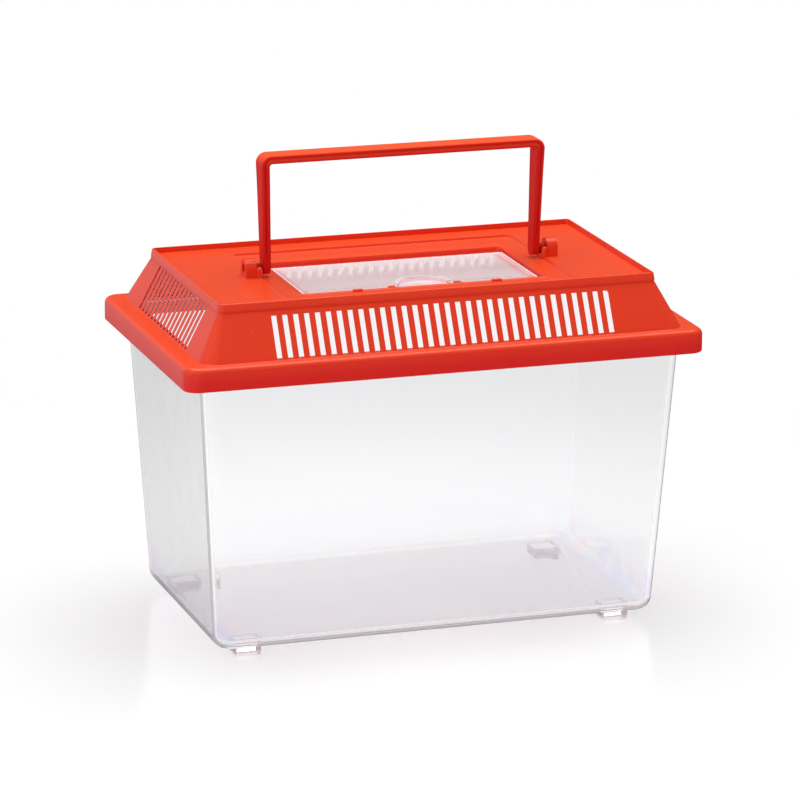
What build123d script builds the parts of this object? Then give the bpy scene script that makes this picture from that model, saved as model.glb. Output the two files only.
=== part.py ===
from build123d import *
import math
import os

os.makedirs("parts", exist_ok=True)

# Plastic insect box: a clear tapered tank, a red vented lid, a clear feeding hatch and a carry handle.
# Millimetres, +Z up, X along the box, Y across it with the front at -Y.
# The origin is the middle of the box at the level its feet stand on.

# Tank
tank_floor_length = 160.9
tank_floor_width = 91.7
tank_end_draft = 3.6
tank_side_draft = 3.2
tank_height = 102.3
tank_wall = 1.9
tank_floor = 2.2
tank_corner_radius = 6.5
tank_floor_edge_radius = 4.0
tank_inner_floor_radius = 2.5
rim_thickness = 1.8
rim_end_flange = 4.9
rim_side_flange = 1.5
rim_edge_radius = 0.6

# Feet under the tank
foot_height = 4.0
foot_length = 9.5
foot_width = 9.5
foot_end_inset = 7.95
foot_side_inset = 5.65
foot_draft = 4.0
foot_edge_radius = 0.8

# Lid skirt and ledge
lid_corner_radius = 5.5
skirt_depth = 8.3
skirt_wall = 1.6
skirt_top_radius = 2.2
skirt_foot_radius = 0.5
ledge_thickness = 1.6
rim_clearance = 0.5

# Lid hood and deck
hood_setback_x = 6.7
hood_setback_y = 3.4
hood_height = 15.8
hood_end_run = 8.3
hood_side_run = 8.8
hood_wall = 1.6
hood_base_corner_radius = 6.0
hood_top_corner_radius = 1.8
hood_foot_radius = 0.5
lip_overhang = 0.4
lip_height = 2.9
lip_thickness = 1.3
lip_depth = 1.9
lip_edge_radius = 0.4
deck_thickness = 1.6

# Vent slots in the hood
slot_width = 1.8
slot_pitch = 3.87
side_slot_count = 32
side_slot_head_margin = 2.0
end_slot_count = 16
end_slot_head_margin = 0.6
slot_foot_margin = 0.35

# Sunk panel of the deck round the window
panel_side_margin = 5.2
panel_front_margin = 7.4
panel_back_margin = 9.1
panel_depth = 0.5
panel_corner_radius = 2.0

# Hatch
hatch_length = 86.0
hatch_width = 43.7
hatch_back_y = 18.7
hatch_thickness = 1.5
hatch_sink = 2.3
hatch_corner_radius = 1.2
hatch_barrel_radius = 1.5
hatch_pin_radius = 1.0
hatch_pin_length = 2.0
hatch_edge_band = 1.0
hatch_front_band = 5.5
hatch_band_height = 0.5
hatch_band_setback = 2.2
grip_radius = 9.9
grip_wall = 1.3
grip_height = 2.2
grip_edge_radius = 0.3

# Window in the lid, with the seat, the hinge sockets and the catch nibs of the hatch
hatch_side_gap = 0.4
hatch_back_gap = 0.5
window_bevel = 3.2
window_corner_radius = 1.0
seat_width = 3.4
seat_thickness = 1.5
well_wall = 3.0
hatch_pin_clearance = 0.15
barrel_clearance = 0.3
nib_length = 3.5
nib_depth = 1.4
nib_height = 0.7
nib_spacing = 50.6
catch_length = 2.4
catch_height = 0.1
catch_spacing = 24.0

# Handle
handle_height = 40.1
handle_hatch_gap = 5.0
handle_splay = 1.15
handle_thickness_top = 3.0
handle_thickness_foot = 2.8
handle_width_top = 8.0
handle_width_foot = 5.0
handle_corner_radius = 3.6
handle_inner_radius = 1.0
handle_flange = 1.1
handle_groove_depth = 0.7
handle_groove_lead = 3.5
pivot_above_deck = 2.9
pivot_pin_radius = 1.5
pivot_pin_recess = 0.6
pivot_pin_chamfer = 0.4

# Handle brackets on the deck
bracket_gap = 2.85
bracket_length = 3.8
bracket_radius = 3.3
bracket_foot_gap = 0.5
bracket_foot_height = 1.2
pivot_clearance = 0.15
prong_radius = 1.1
prong_height = 3.7
prong_gap = 0.4

# How far a cutting shape runs past the wall that it cuts, and a joining shape into its neighbour
cut_margin = 5.0
joint_overlap = 0.4

# Levels
rim_top = foot_height + tank_height
rim_bottom = rim_top - rim_thickness
inner_floor = foot_height + tank_floor
ledge_top = rim_top + ledge_thickness
skirt_bottom = ledge_top - skirt_depth
hood_top = ledge_top + hood_height
lip_top = hood_top + lip_height
deck_top = lip_top - lip_depth
deck_bottom = deck_top - deck_thickness
panel_top = deck_top - panel_depth
hatch_top = deck_top - hatch_sink
seat_top = hatch_top - hatch_thickness
seat_bottom = seat_top - seat_thickness
slot_bottom = ledge_top + slot_foot_margin
side_slot_top = hood_top - side_slot_head_margin
end_slot_top = hood_top - end_slot_head_margin
pivot_z = deck_top + pivot_above_deck
handle_top = pivot_z + handle_height


def tank_length_at(rise):
    """Outer length of the tank at a height above its floor."""
    return tank_floor_length + 2 * rise * math.tan(math.radians(tank_end_draft))


def tank_width_at(rise):
    """Outer width of the tank at a height above its floor."""
    return tank_floor_width + 2 * rise * math.tan(math.radians(tank_side_draft))


def hood_shift_at(level, run):
    """How far a sloped face of the hood has moved inwards at a level."""
    return run * (level - ledge_top) / hood_height


# The rim sets the lid: skirt, hood and lip follow from it
rim_length = tank_length_at(tank_height) + 2 * rim_end_flange
rim_width = tank_width_at(tank_height) + 2 * rim_side_flange
skirt_inner_length = rim_length + 2 * rim_clearance
skirt_inner_width = rim_width + 2 * rim_clearance
skirt_inner_radius = lid_corner_radius - skirt_wall
lid_length = skirt_inner_length + 2 * skirt_wall
lid_width = skirt_inner_width + 2 * skirt_wall
hood_base_length = lid_length - 2 * hood_setback_x
hood_base_width = lid_width - 2 * hood_setback_y
hood_top_length = hood_base_length - 2 * hood_end_run
hood_top_width = hood_base_width - 2 * hood_side_run
hood_wall_level = hood_wall * math.hypot(hood_side_run, hood_height) / hood_height
lip_outer_length = hood_top_length + 2 * lip_overhang
lip_outer_width = hood_top_width + 2 * lip_overhang
lip_outer_radius = hood_top_corner_radius + lip_overhang
slot_depth = hood_shift_at(end_slot_top, hood_side_run) + hood_wall_level + joint_overlap

# The hatch sets the window, the sunk panel round it and the handle astride it
hatch_front_y = hatch_back_y - hatch_width
barrel_y = hatch_back_y - hatch_barrel_radius
barrel_z = hatch_top - hatch_barrel_radius
window_length = hatch_length + 2 * hatch_side_gap
window_front_y = hatch_front_y - hatch_side_gap
window_back_y = hatch_back_y + hatch_back_gap
window_width = window_back_y - window_front_y
window_center_y = (window_back_y + window_front_y) / 2
window_top_length = window_length + 2 * window_bevel
window_top_width = window_width + 2 * window_bevel
window_top_front_y = window_front_y - window_bevel
throat_length = window_length - 2 * seat_width
throat_front_y = window_front_y + seat_width
barrel_room_y = barrel_y - hatch_barrel_radius - barrel_clearance
panel_length = window_top_length + 2 * panel_side_margin
panel_width = window_top_width + panel_front_margin + panel_back_margin
panel_front_y = window_top_front_y - panel_front_margin

handle_half_foot = hatch_length / 2 + handle_hatch_gap + handle_thickness_foot
handle_half_top = handle_half_foot + handle_splay
bracket_inner_x = handle_half_foot + bracket_gap
bracket_outer_x = bracket_inner_x + bracket_length
bracket_foot_x = handle_half_foot + bracket_foot_gap
prong_y = pivot_pin_radius + prong_gap + prong_radius
prong_x = bracket_inner_x - prong_radius


# Tank: rim flange, tapered shell and four feet in one clear moulding
with BuildPart() as tank:
    with BuildSketch(Plane.XY.offset(rim_bottom)):
        RectangleRounded(rim_length, rim_width, skirt_inner_radius)
    extrude(amount=rim_thickness)
    fillet(tank.faces().filter_by(Axis.Z).edges(), rim_edge_radius)
    with BuildSketch(Plane.XY.offset(foot_height)):
        RectangleRounded(tank_floor_length, tank_floor_width, tank_corner_radius)
    with BuildSketch(Plane.XY.offset(rim_top)):
        RectangleRounded(tank_length_at(tank_height), tank_width_at(tank_height), tank_corner_radius)
    loft()
    fillet(tank.faces().sort_by(Axis.Z)[0].edges(), tank_floor_edge_radius)
    hollow_bottom = tank_length_at(tank_floor) - 2 * tank_wall, tank_width_at(tank_floor) - 2 * tank_wall
    hollow_rise = tank_height + cut_margin
    hollow_top = tank_length_at(hollow_rise) - 2 * tank_wall, tank_width_at(hollow_rise) - 2 * tank_wall
    with BuildSketch(Plane.XY.offset(inner_floor)):
        RectangleRounded(*hollow_bottom, tank_corner_radius - tank_wall)
    with BuildSketch(Plane.XY.offset(rim_top + cut_margin)):
        RectangleRounded(*hollow_top, tank_corner_radius - tank_wall)
    loft(mode=Mode.SUBTRACT)
    level_faces = tank.faces().filter_by(Axis.Z)
    inner_floor_face = level_faces.filter_by_position(Axis.Z, inner_floor - 0.1, inner_floor + 0.1)
    fillet(inner_floor_face.edges(), tank_inner_floor_radius)
    foot_spacing_x = tank_floor_length - 2 * foot_end_inset - foot_length
    foot_spacing_y = tank_floor_width - 2 * foot_side_inset - foot_width
    with BuildSketch(Plane.XY.offset(foot_height + joint_overlap)):
        with GridLocations(foot_spacing_x, foot_spacing_y, 2, 2):
            RectangleRounded(foot_length, foot_width, foot_edge_radius)
    extrude(amount=-foot_height - joint_overlap, taper=foot_draft)
tank.part.label = "tank"
export_step(tank.part, "parts/tank.step")

# Lid: skirt, ledge, vented hood, deck with its lip, window, catch nibs and handle brackets
with BuildPart() as lid:
    with BuildSketch(Plane.XY.offset(skirt_bottom)):
        RectangleRounded(lid_length, lid_width, lid_corner_radius)
    extrude(amount=skirt_depth)
    fillet(lid.faces().sort_by(Axis.Z)[-1].edges(), skirt_top_radius)
    fillet(lid.faces().sort_by(Axis.Z)[0].edges(), skirt_foot_radius)

    # Hood on the ledge
    with BuildSketch(Plane.XY.offset(ledge_top)):
        RectangleRounded(hood_base_length, hood_base_width, hood_base_corner_radius)
    with BuildSketch(Plane.XY.offset(hood_top)):
        RectangleRounded(hood_top_length, hood_top_width, hood_top_corner_radius)
    loft()
    ledge_edges = lid.edges().filter_by_position(Axis.Z, ledge_top - 0.01, ledge_top + 0.01)
    hood_foot_edges = ledge_edges.filter_by(lambda edge: abs(edge.center().X) < hood_base_length / 2 + 0.01
                                            and abs(edge.center().Y) < hood_base_width / 2 + 0.01)
    fillet(hood_foot_edges, hood_foot_radius)

    # Lip round the deck
    with BuildSketch(Plane.XY.offset(hood_top)):
        RectangleRounded(lip_outer_length, lip_outer_width, lip_outer_radius)
    extrude(amount=lip_height)
    with BuildSketch(Plane.XY.offset(deck_top)):
        RectangleRounded(lip_outer_length - 2 * lip_thickness, lip_outer_width - 2 * lip_thickness,
                         lip_outer_radius - lip_thickness)
    extrude(amount=lip_depth, mode=Mode.SUBTRACT)
    fillet(lid.faces().sort_by(Axis.Z)[-1].edges(), lip_edge_radius)

    # Hollow of the skirt and of the hood
    with BuildSketch(Plane.XY.offset(skirt_bottom)):
        RectangleRounded(skirt_inner_length, skirt_inner_width, skirt_inner_radius)
    extrude(amount=rim_top - skirt_bottom, mode=Mode.SUBTRACT)
    for level in (rim_top, deck_bottom):
        end_inset = hood_shift_at(level, hood_end_run) + hood_wall_level
        side_inset = hood_shift_at(level, hood_side_run) + hood_wall_level
        with BuildSketch(Plane.XY.offset(level)):
            RectangleRounded(hood_base_length - 2 * end_inset, hood_base_width - 2 * side_inset,
                             hood_base_corner_radius - hood_wall)
    loft(mode=Mode.SUBTRACT)

    # Sunk panel, then the window's well with the seat, the bevel and the way through
    with BuildSketch(Plane.XY.offset(panel_top)):
        with Locations((0, panel_front_y + panel_width / 2)):
            RectangleRounded(panel_length, panel_width, panel_corner_radius)
    extrude(amount=panel_depth, mode=Mode.SUBTRACT)
    with BuildSketch(Plane.XY.offset(seat_bottom)):
        with Locations((0, window_center_y)):
            RectangleRounded(window_length + 2 * well_wall, window_width + 2 * well_wall,
                             window_corner_radius + well_wall)
    extrude(amount=deck_bottom + joint_overlap - seat_bottom)
    with BuildSketch(Plane.XY.offset(seat_top)):
        with Locations((0, window_center_y)):
            RectangleRounded(window_length, window_width, window_corner_radius)
    extrude(amount=hatch_top - seat_top, mode=Mode.SUBTRACT)
    with BuildSketch(Plane.XY.offset(hatch_top)):
        with Locations((0, window_center_y)):
            RectangleRounded(window_length, window_width, window_corner_radius)
    with BuildSketch(Plane.XY.offset(panel_top)):
        with Locations((0, window_center_y)):
            RectangleRounded(window_top_length, window_top_width, window_corner_radius + window_bevel)
    loft(mode=Mode.SUBTRACT)
    with BuildSketch(Plane.XY.offset(seat_bottom)):
        with Locations((0, throat_front_y)):
            Rectangle(throat_length, window_back_y - throat_front_y, align=(Align.CENTER, Align.MIN))
        with Locations((0, barrel_room_y)):
            Rectangle(window_length, window_back_y - barrel_room_y, align=(Align.CENTER, Align.MIN))
    extrude(amount=hatch_top - seat_bottom, mode=Mode.SUBTRACT)

    # Sockets for the hatch's hinge pins
    with BuildSketch(Plane.YZ):
        with Locations((barrel_y, barrel_z)):
            Circle(hatch_pin_radius + hatch_pin_clearance)
    extrude(amount=hatch_length / 2 + hatch_pin_length + hatch_pin_clearance, both=True, mode=Mode.SUBTRACT)

    # Nibs on the front edge of the window, and the lower catches beside the grip
    with BuildSketch(Plane.XY.offset(panel_top - joint_overlap)):
        with Locations((0, window_top_front_y - nib_depth / 2)):
            with GridLocations(nib_spacing, 1, 2, 1):
                Rectangle(nib_length, nib_depth)
    extrude(amount=nib_height + joint_overlap)
    with BuildSketch(Plane.XY.offset(hatch_top - joint_overlap)):
        with Locations((0, window_front_y)):
            with GridLocations(catch_spacing, 1, 2, 1):
                Rectangle(catch_length, window_bevel + nib_depth, align=(Align.CENTER, Align.MAX))
    extrude(amount=panel_top + catch_height - hatch_top + joint_overlap)

    # Vent slots, cut level through the front, back and end faces
    for side in (-1, 1):
        with BuildSketch(Plane.XZ.offset(side * hood_base_width / 2)):
            with Locations((0, (slot_bottom + side_slot_top) / 2)):
                with GridLocations(slot_pitch, 1, side_slot_count, 1):
                    Rectangle(slot_width, side_slot_top - slot_bottom)
        extrude(amount=-side * slot_depth, mode=Mode.SUBTRACT)
        with BuildSketch(Plane.YZ.offset(side * hood_base_length / 2)):
            with Locations((0, (slot_bottom + end_slot_top) / 2)):
                with GridLocations(slot_pitch, 1, end_slot_count, 1):
                    Rectangle(slot_width, end_slot_top - slot_bottom)
        extrude(amount=-side * slot_depth, mode=Mode.SUBTRACT)

    # Handle brackets: a foot plate, a round-topped ear with a pin bore, and two prongs beside the pin
    for side in (-1, 1):
        with BuildSketch(Plane.XY.offset(panel_top - joint_overlap)):
            with Locations((side * (bracket_foot_x + bracket_outer_x) / 2, 0)):
                Rectangle(bracket_outer_x - bracket_foot_x, 2 * bracket_radius)
        extrude(amount=deck_top + bracket_foot_height - panel_top + joint_overlap)
        with BuildSketch(Plane.YZ.offset(side * bracket_inner_x)):
            with Locations((0, pivot_z)):
                Circle(bracket_radius)
            with Locations((0, pivot_z)):
                Rectangle(2 * bracket_radius, pivot_z - deck_top + joint_overlap,
                          align=(Align.CENTER, Align.MAX))
        extrude(amount=side * bracket_length)
        with BuildSketch(Plane.XY.offset(deck_top)):
            with Locations((side * prong_x, -prong_y), (side * prong_x, prong_y)):
                Circle(prong_radius)
        extrude(amount=prong_height)
    with BuildSketch(Plane.YZ):
        with Locations((0, pivot_z)):
            Circle(pivot_pin_radius + pivot_clearance)
    extrude(amount=bracket_outer_x + cut_margin, both=True, mode=Mode.SUBTRACT)
lid.part.label = "lid"
export_step(lid.part, "parts/lid.step")

# Feeding hatch: a clear flap with a hinge barrel and pins at its back edge and a finger grip in front
with BuildPart() as feeding_hatch:
    with BuildSketch(Plane.XY.offset(seat_top)) as flap_outline:
        with Locations((0, barrel_y)):
            Rectangle(hatch_length, barrel_y - hatch_front_y, align=(Align.CENTER, Align.MAX))
        fillet(flap_outline.vertices().group_by(Axis.Y)[0], hatch_corner_radius)
    extrude(amount=hatch_thickness)
    band_back_y = barrel_y - hatch_band_setback
    with BuildSketch(Plane.XY.offset(hatch_top)) as band_outline:
        with Locations((0, band_back_y)):
            Rectangle(hatch_length, band_back_y - hatch_front_y, align=(Align.CENTER, Align.MAX))
        fillet(band_outline.vertices().group_by(Axis.Y)[0], hatch_corner_radius)
        with Locations((0, band_back_y)):
            Rectangle(hatch_length - 2 * hatch_edge_band, band_back_y - hatch_front_y - hatch_front_band,
                      align=(Align.CENTER, Align.MAX), mode=Mode.SUBTRACT)
    extrude(amount=hatch_band_height)
    with BuildSketch(Plane.XY.offset(hatch_top)):
        with Locations((0, hatch_front_y)):
            Circle(grip_radius)
            Circle(grip_radius - grip_wall, mode=Mode.SUBTRACT)
            Rectangle(2 * grip_radius, grip_radius, align=(Align.CENTER, Align.MAX), mode=Mode.SUBTRACT)
    extrude(amount=grip_height)
    fillet(feeding_hatch.faces().sort_by(Axis.Z)[-1].edges(), grip_edge_radius)
    with BuildSketch(Plane.YZ):
        with Locations((barrel_y, barrel_z)):
            Circle(hatch_barrel_radius)
    extrude(amount=hatch_length / 2, both=True)
    with BuildSketch(Plane.YZ):
        with Locations((barrel_y, barrel_z)):
            Circle(hatch_pin_radius)
    extrude(amount=hatch_length / 2 + hatch_pin_length, both=True)
feeding_hatch.part.label = "feeding_hatch"
export_step(feeding_hatch.part, "parts/feeding_hatch.step")


def strap_outline(inset):
    """Front view of the handle's strap as a U, each of its two faces moved into the strap by inset."""
    foot_z = pivot_z - handle_width_foot
    outer_foot = handle_half_foot - inset
    outer_top = handle_half_top - inset
    inner_foot = handle_half_foot - handle_thickness_foot + inset
    inner_top = handle_half_top - handle_thickness_top + inset
    bar_bottom = handle_top - handle_thickness_top + inset
    with BuildSketch(Plane.XZ) as outline:
        with BuildLine():
            Polyline((-outer_foot, foot_z), (-outer_top, handle_top - inset),
                     (outer_top, handle_top - inset), (outer_foot, foot_z), close=True)
        make_face()
        with BuildLine():
            Polyline((-inner_foot, foot_z), (-inner_top, bar_bottom),
                     (inner_top, bar_bottom), (inner_foot, foot_z), close=True)
        make_face(mode=Mode.SUBTRACT)
        fillet(outline.vertices().group_by(Axis.Y)[-2], handle_inner_radius + inset)
        fillet(outline.vertices().group_by(Axis.Y)[-1], handle_corner_radius - inset)
    return outline.sketch


def strap_side(inset):
    """Side view of the handle: round about the pivot at its foot and wider at its top."""
    half_foot = handle_width_foot / 2 - inset
    half_top = handle_width_top / 2 - inset
    with BuildSketch(Plane.YZ) as side_view:
        with Locations((0, pivot_z)):
            Circle(half_foot)
        with BuildLine():
            Polyline((-half_foot, pivot_z), (-half_top, handle_top),
                     (half_top, handle_top), (half_foot, pivot_z), close=True)
        make_face()
    return side_view.sketch


# Grooves along the front and back edges of the handle, which end above its feet
with BuildPart() as handle_grooves:
    extrude(strap_outline(handle_flange), amount=handle_width_top, both=True)
    extrude(strap_side(handle_groove_depth), amount=handle_half_top, both=True, mode=Mode.SUBTRACT)
    split(bisect_by=Plane.XY.offset(pivot_z + handle_groove_lead), keep=Keep.TOP)

# Carry handle: a grooved strap bent to a U, with an outward pin on each foot
with BuildPart() as carry_handle:
    extrude(strap_outline(0), amount=handle_width_top, both=True)
    extrude(strap_side(0), amount=handle_half_top, both=True, mode=Mode.INTERSECT)
    add(handle_grooves.part, mode=Mode.SUBTRACT)
    pin_root_x = handle_half_foot - handle_thickness_foot / 2
    for side in (-1, 1):
        with BuildSketch(Plane.YZ.offset(side * pin_root_x)):
            with Locations((0, pivot_z)):
                Circle(pivot_pin_radius)
        extrude(amount=side * (bracket_outer_x - pivot_pin_recess - pin_root_x))
    flat_ends = carry_handle.faces().filter_by(Axis.X).sort_by(Axis.X)
    chamfer(flat_ends[0].edges() + flat_ends[-1].edges(), pivot_pin_chamfer)
carry_handle.part.label = "carry_handle"
export_step(carry_handle.part, "parts/carry_handle.step")
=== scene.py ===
"""Plastic insect box: a clear tapered tank, a red vented lid, a clear feeding hatch and a carry handle.

Everything is in metres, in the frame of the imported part: X along the box, -Y to the front, +Z up.
"""
import math

import bmesh
import bpy
from bpy.props import FloatProperty, FloatVectorProperty, IntProperty, PointerProperty
from mathutils import Matrix, Vector


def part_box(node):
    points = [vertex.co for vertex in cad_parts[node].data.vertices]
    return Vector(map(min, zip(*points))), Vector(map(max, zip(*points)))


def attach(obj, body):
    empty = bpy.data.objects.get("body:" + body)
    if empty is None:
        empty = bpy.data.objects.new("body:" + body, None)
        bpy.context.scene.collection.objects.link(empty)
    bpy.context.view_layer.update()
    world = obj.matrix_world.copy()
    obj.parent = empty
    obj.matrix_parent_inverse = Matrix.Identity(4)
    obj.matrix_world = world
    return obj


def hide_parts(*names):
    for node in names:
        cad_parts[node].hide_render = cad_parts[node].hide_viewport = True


bl_info = {
    "name": "Plastic Insect Box",
    "version": (1, 0, 0),
    "blender": (4, 5, 0),
    "location": "View3D > Sidebar > Insect Box",
    "description": "Builds the tank, the vented lid, the feeding hatch and the handle around the frame",
    "category": "Add Mesh",
}

MM = 0.001
# Name of the attribute that holds how level each corner is, from which the red plastic paints light on level
# faces and shade on upright ones
LEVELNESS = "levelness"

# How many straight pieces a rounding is made of
CORNER_STEPS = 12
FILLET_STEPS = 6
SMALL_STEPS = 3
HOOD_FOOT_STEPS = 4
HATCH_CORNER_STEPS = 5
BARREL_STEPS = 24
GRIP_STEPS = 32
BEND_STEPS = 8
STRAP_EDGE_STEPS = 5
PIN_STEPS = 32
POST_STEPS = 24

# A level ring's points for one corner and the side after it, and which of them is the side's first mark
SIDE_POINTS = CORNER_STEPS + 3
FIRST_MARK = CORNER_STEPS + 1

# Edges that turn by more than this many degrees are rounded
SHARP_ANGLE = 30

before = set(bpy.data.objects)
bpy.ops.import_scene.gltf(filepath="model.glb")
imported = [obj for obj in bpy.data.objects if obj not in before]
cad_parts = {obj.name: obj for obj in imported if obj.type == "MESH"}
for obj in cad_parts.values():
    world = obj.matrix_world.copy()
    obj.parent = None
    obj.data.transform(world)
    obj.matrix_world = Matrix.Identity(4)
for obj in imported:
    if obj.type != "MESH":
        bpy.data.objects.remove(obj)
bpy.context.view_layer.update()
TANK_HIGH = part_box("tank")[1]
LID_LOW, LID_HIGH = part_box("lid")
HATCH_LOW, HATCH_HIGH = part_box("feeding_hatch")
HANDLE_LOW, HANDLE_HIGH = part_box("carry_handle")


def length(name, millimetres, description):
    """A length that a user can change, given in millimetres and kept in metres."""
    return FloatProperty(name=name, description=description, default=millimetres * MM,
                         unit="LENGTH", precision=5)


def colour(name, value, description):
    """A linear colour that a user can change."""
    return FloatVectorProperty(name=name, description=description, default=value, size=4,
                               min=0.0, max=1.0, subtype="COLOR")


class TankSizes(bpy.types.PropertyGroup):
    floor_length: length("Floor length", 160.9, "Outer length of the tank at its floor")
    floor_width: length("Floor width", 91.7, "Outer width of the tank at its floor")
    top_length: length("Top length", 173.77, "Outer length of the tank's wall at its rim")
    top_width: length("Top width", 103.14, "Outer width of the tank's wall at its rim")
    wall: length("Wall", 1.9, "Thickness of the walls")
    floor: length("Floor", 2.2, "Thickness of the floor")
    corner: length("Corner radius", 6.5, "Outer radius of the four upright corners")
    floor_edge: length("Floor edge", 4.0, "Outer radius between the walls and the floor")
    inner_edge: length("Inner edge", 2.5, "Inner radius between the walls and the floor")
    rim_thickness: length("Rim thickness", 1.8, "Thickness of the flange round the rim")
    rim_corner: length("Rim corner", 3.9, "Corner radius of the flange")
    rim_edge: length("Rim edge", 0.6, "Rounding of the flange's edges")
    foot_height: length("Foot height", 4.0, "Height of the moulded feet")
    foot_size: length("Foot size", 9.5, "Length and width of a foot at the tank's underside")
    foot_taper: length("Foot taper", 0.28, "How far a foot's side leans in over its height")
    foot_end_inset: length("Foot end inset", 7.95, "From the floor's end to the foot")
    foot_side_inset: length("Foot side inset", 5.65, "From the floor's side to the foot")
    foot_edge: length("Foot edge", 0.5, "Rounding of the feet's edges")


class LidSizes(bpy.types.PropertyGroup):
    corner: length("Corner radius", 5.5, "Corner radius of the skirt")
    skirt_depth: length("Skirt depth", 8.3, "From the ledge down to the skirt's lower edge")
    skirt_wall: length("Skirt wall", 1.6, "Thickness of the skirt and of the ledge")
    skirt_top: length("Skirt top", 2.2, "Rounding between the skirt and the ledge")
    skirt_foot: length("Skirt foot", 0.5, "Rounding of the skirt's lower edge")
    setback_x: length("End setback", 6.7, "Width of the ledge at the ends")
    setback_y: length("Side setback", 3.4, "Width of the ledge in front and behind")
    hood_height: length("Hood height", 15.8, "Height of the sloped, vented part")
    end_run: length("End run", 8.3, "How far the sloped end faces lean in")
    side_run: length("Side run", 8.8, "How far the sloped front and back faces lean in")
    hood_wall: length("Hood wall", 1.6, "Thickness of the sloped walls")
    hood_base_corner: length("Hood base corner", 6.0, "Corner radius of the hood on the ledge")
    hood_top_corner: length("Hood top corner", 1.8, "Corner radius of the hood under the lip")
    hood_foot: length("Hood foot", 0.5, "Rounding between the ledge and the hood")
    lip_overhang: length("Lip overhang", 0.4, "How far the lip stands out over the hood")
    lip_height: length("Lip height", 2.9, "Height of the lip round the deck")
    lip_thickness: length("Lip thickness", 1.3, "Thickness of the lip")
    lip_depth: length("Lip depth", 1.9, "From the lip's top down to the deck")
    lip_lean: length("Lip lean", 0.4, "How far the lip's outer face leans in up to its rounding")
    lip_round: length("Lip rounding", 0.6, "Rounding of the lip's outer edge")
    lip_edge: length("Lip edge", 0.2, "Rounding of the lip's inner edge")
    deck_thickness: length("Deck thickness", 1.6, "Thickness of the deck")
    slot_width: length("Slot width", 1.75, "Width of a vent slot")
    slot_pitch: length("Slot pitch", 3.87, "From one slot to the next")
    side_slots: IntProperty(name="Side slots", description="Vent slots in front and behind", default=32)
    side_slot_head: length("Side slot head", 2.0, "From the side slots up to the lip")
    end_slots: IntProperty(name="End slots", description="Vent slots in each end", default=16)
    end_slot_head: length("End slot head", 0.6, "From the end slots up to the lip")
    slot_foot: length("Slot foot", 0.35, "From the ledge up to the slots")
    slot_flare: length("Slot flare", 0.9, "How far a row of slots widens inwards at each end")
    bar_recess: length("Bar recess", 0.03, "How far the bars lie below the faces that hold them")
    bar_thickness: length("Bar thickness", 0.5, "Thickness of the bars between the slots")
    bar_front: length("Bar front", 2.25, "Width of the bars on their outer side, before their rounding")
    bar_back: length("Bar back", 1.0, "Width of the bars on their inner side")
    bar_edge: length("Bar edge", 0.04, "Rounding of the bars' edges")
    bar_root: length("Bar root", 0.45, "How far the bars' ends reach into the rails")
    panel_depth: length("Panel depth", 0.5, "Depth of the sunk panel round the window")
    panel_half_length: length("Panel half length", 51.8, "Half the length of the sunk panel")
    panel_half_width: length("Panel half width", 33.75, "Half the width of the sunk panel")
    panel_centre: length("Panel centre", -2.3, "Place of the panel's middle along Y")
    panel_corner: length("Panel corner", 2.0, "Corner radius of the sunk panel")
    bead_height: length("Bead height", 0.2, "Height of the beads round the panel and round the window")
    bead_width: length("Bead width", 1.2, "Width of those beads")
    window_half_length: length("Window half length", 43.4, "Half the length of the window")
    window_front: length("Window front", -25.4, "Place of the window's front face")
    window_back: length("Window back", 19.2, "Place of the window's back face")
    window_bevel: length("Window bevel", 3.2, "How far the window widens towards the panel")
    window_step: length("Window step", 1.4, "Height of the steep lower part of that widening")
    window_step_run: length("Window step run", 0.8, "How far the steep part leans out")
    window_corner: length("Window corner", 1.0, "Corner radius of the window")
    seat_width: length("Seat width", 3.4, "Width of the ledge under the hatch's edges")
    seat_end: length("Seat end", 15.4, "Where the ledge ends in front of the hinge")
    well_wall: length("Well wall", 3.0, "Thickness of the wall round the window")
    nib_length: length("Nib length", 3.5, "Length of the nibs on the window's front edge")
    nib_depth: length("Nib depth", 1.4, "Depth of the nibs")
    nib_height: length("Nib height", 0.7, "Height of the nibs over the panel")
    nib_place: length("Nib place", 25.3, "From the middle to a nib")
    catch_length: length("Catch length", 2.4, "Length of the catches beside the finger grip")
    catch_height: length("Catch height", 0.1, "Height of the catches over the panel")
    catch_place: length("Catch place", 12.0, "From the middle to a catch")
    edge: length("Edge", 0.2, "Rounding of the edges that have no radius of their own")
    bracket_edge: length("Bracket edge", 0.3, "Rounding of the handle brackets' edges")


class HatchSizes(bpy.types.PropertyGroup):
    thickness: length("Thickness", 1.5, "Thickness of the flap")
    barrel_radius: length("Barrel radius", 1.5, "Radius of the hinge barrel at its back edge")
    half_length: length("Half length", 43.0, "Half the length of the flap")
    pin_radius: length("Pin radius", 1.0, "Radius of the hinge pins")
    corner: length("Corner", 1.2, "Rounding of the two front corners")
    edge_band: length("Edge band", 1.0, "Width of the raised band at the sides")
    front_band: length("Front band", 5.5, "Width of the raised band in front")
    band_height: length("Band height", 0.5, "Height of the raised band")
    band_setback: length("Band setback", 2.2, "From the hinge axis to the side bands")
    grip_radius: length("Grip radius", 9.9, "Outer radius of the half-round finger grip")
    grip_wall: length("Grip wall", 1.3, "Thickness of the grip's wall")
    grip_height: length("Grip height", 2.2, "Height of the grip over the flap")
    edge: length("Edge", 0.15, "Rounding of the flap's edges")


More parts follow.
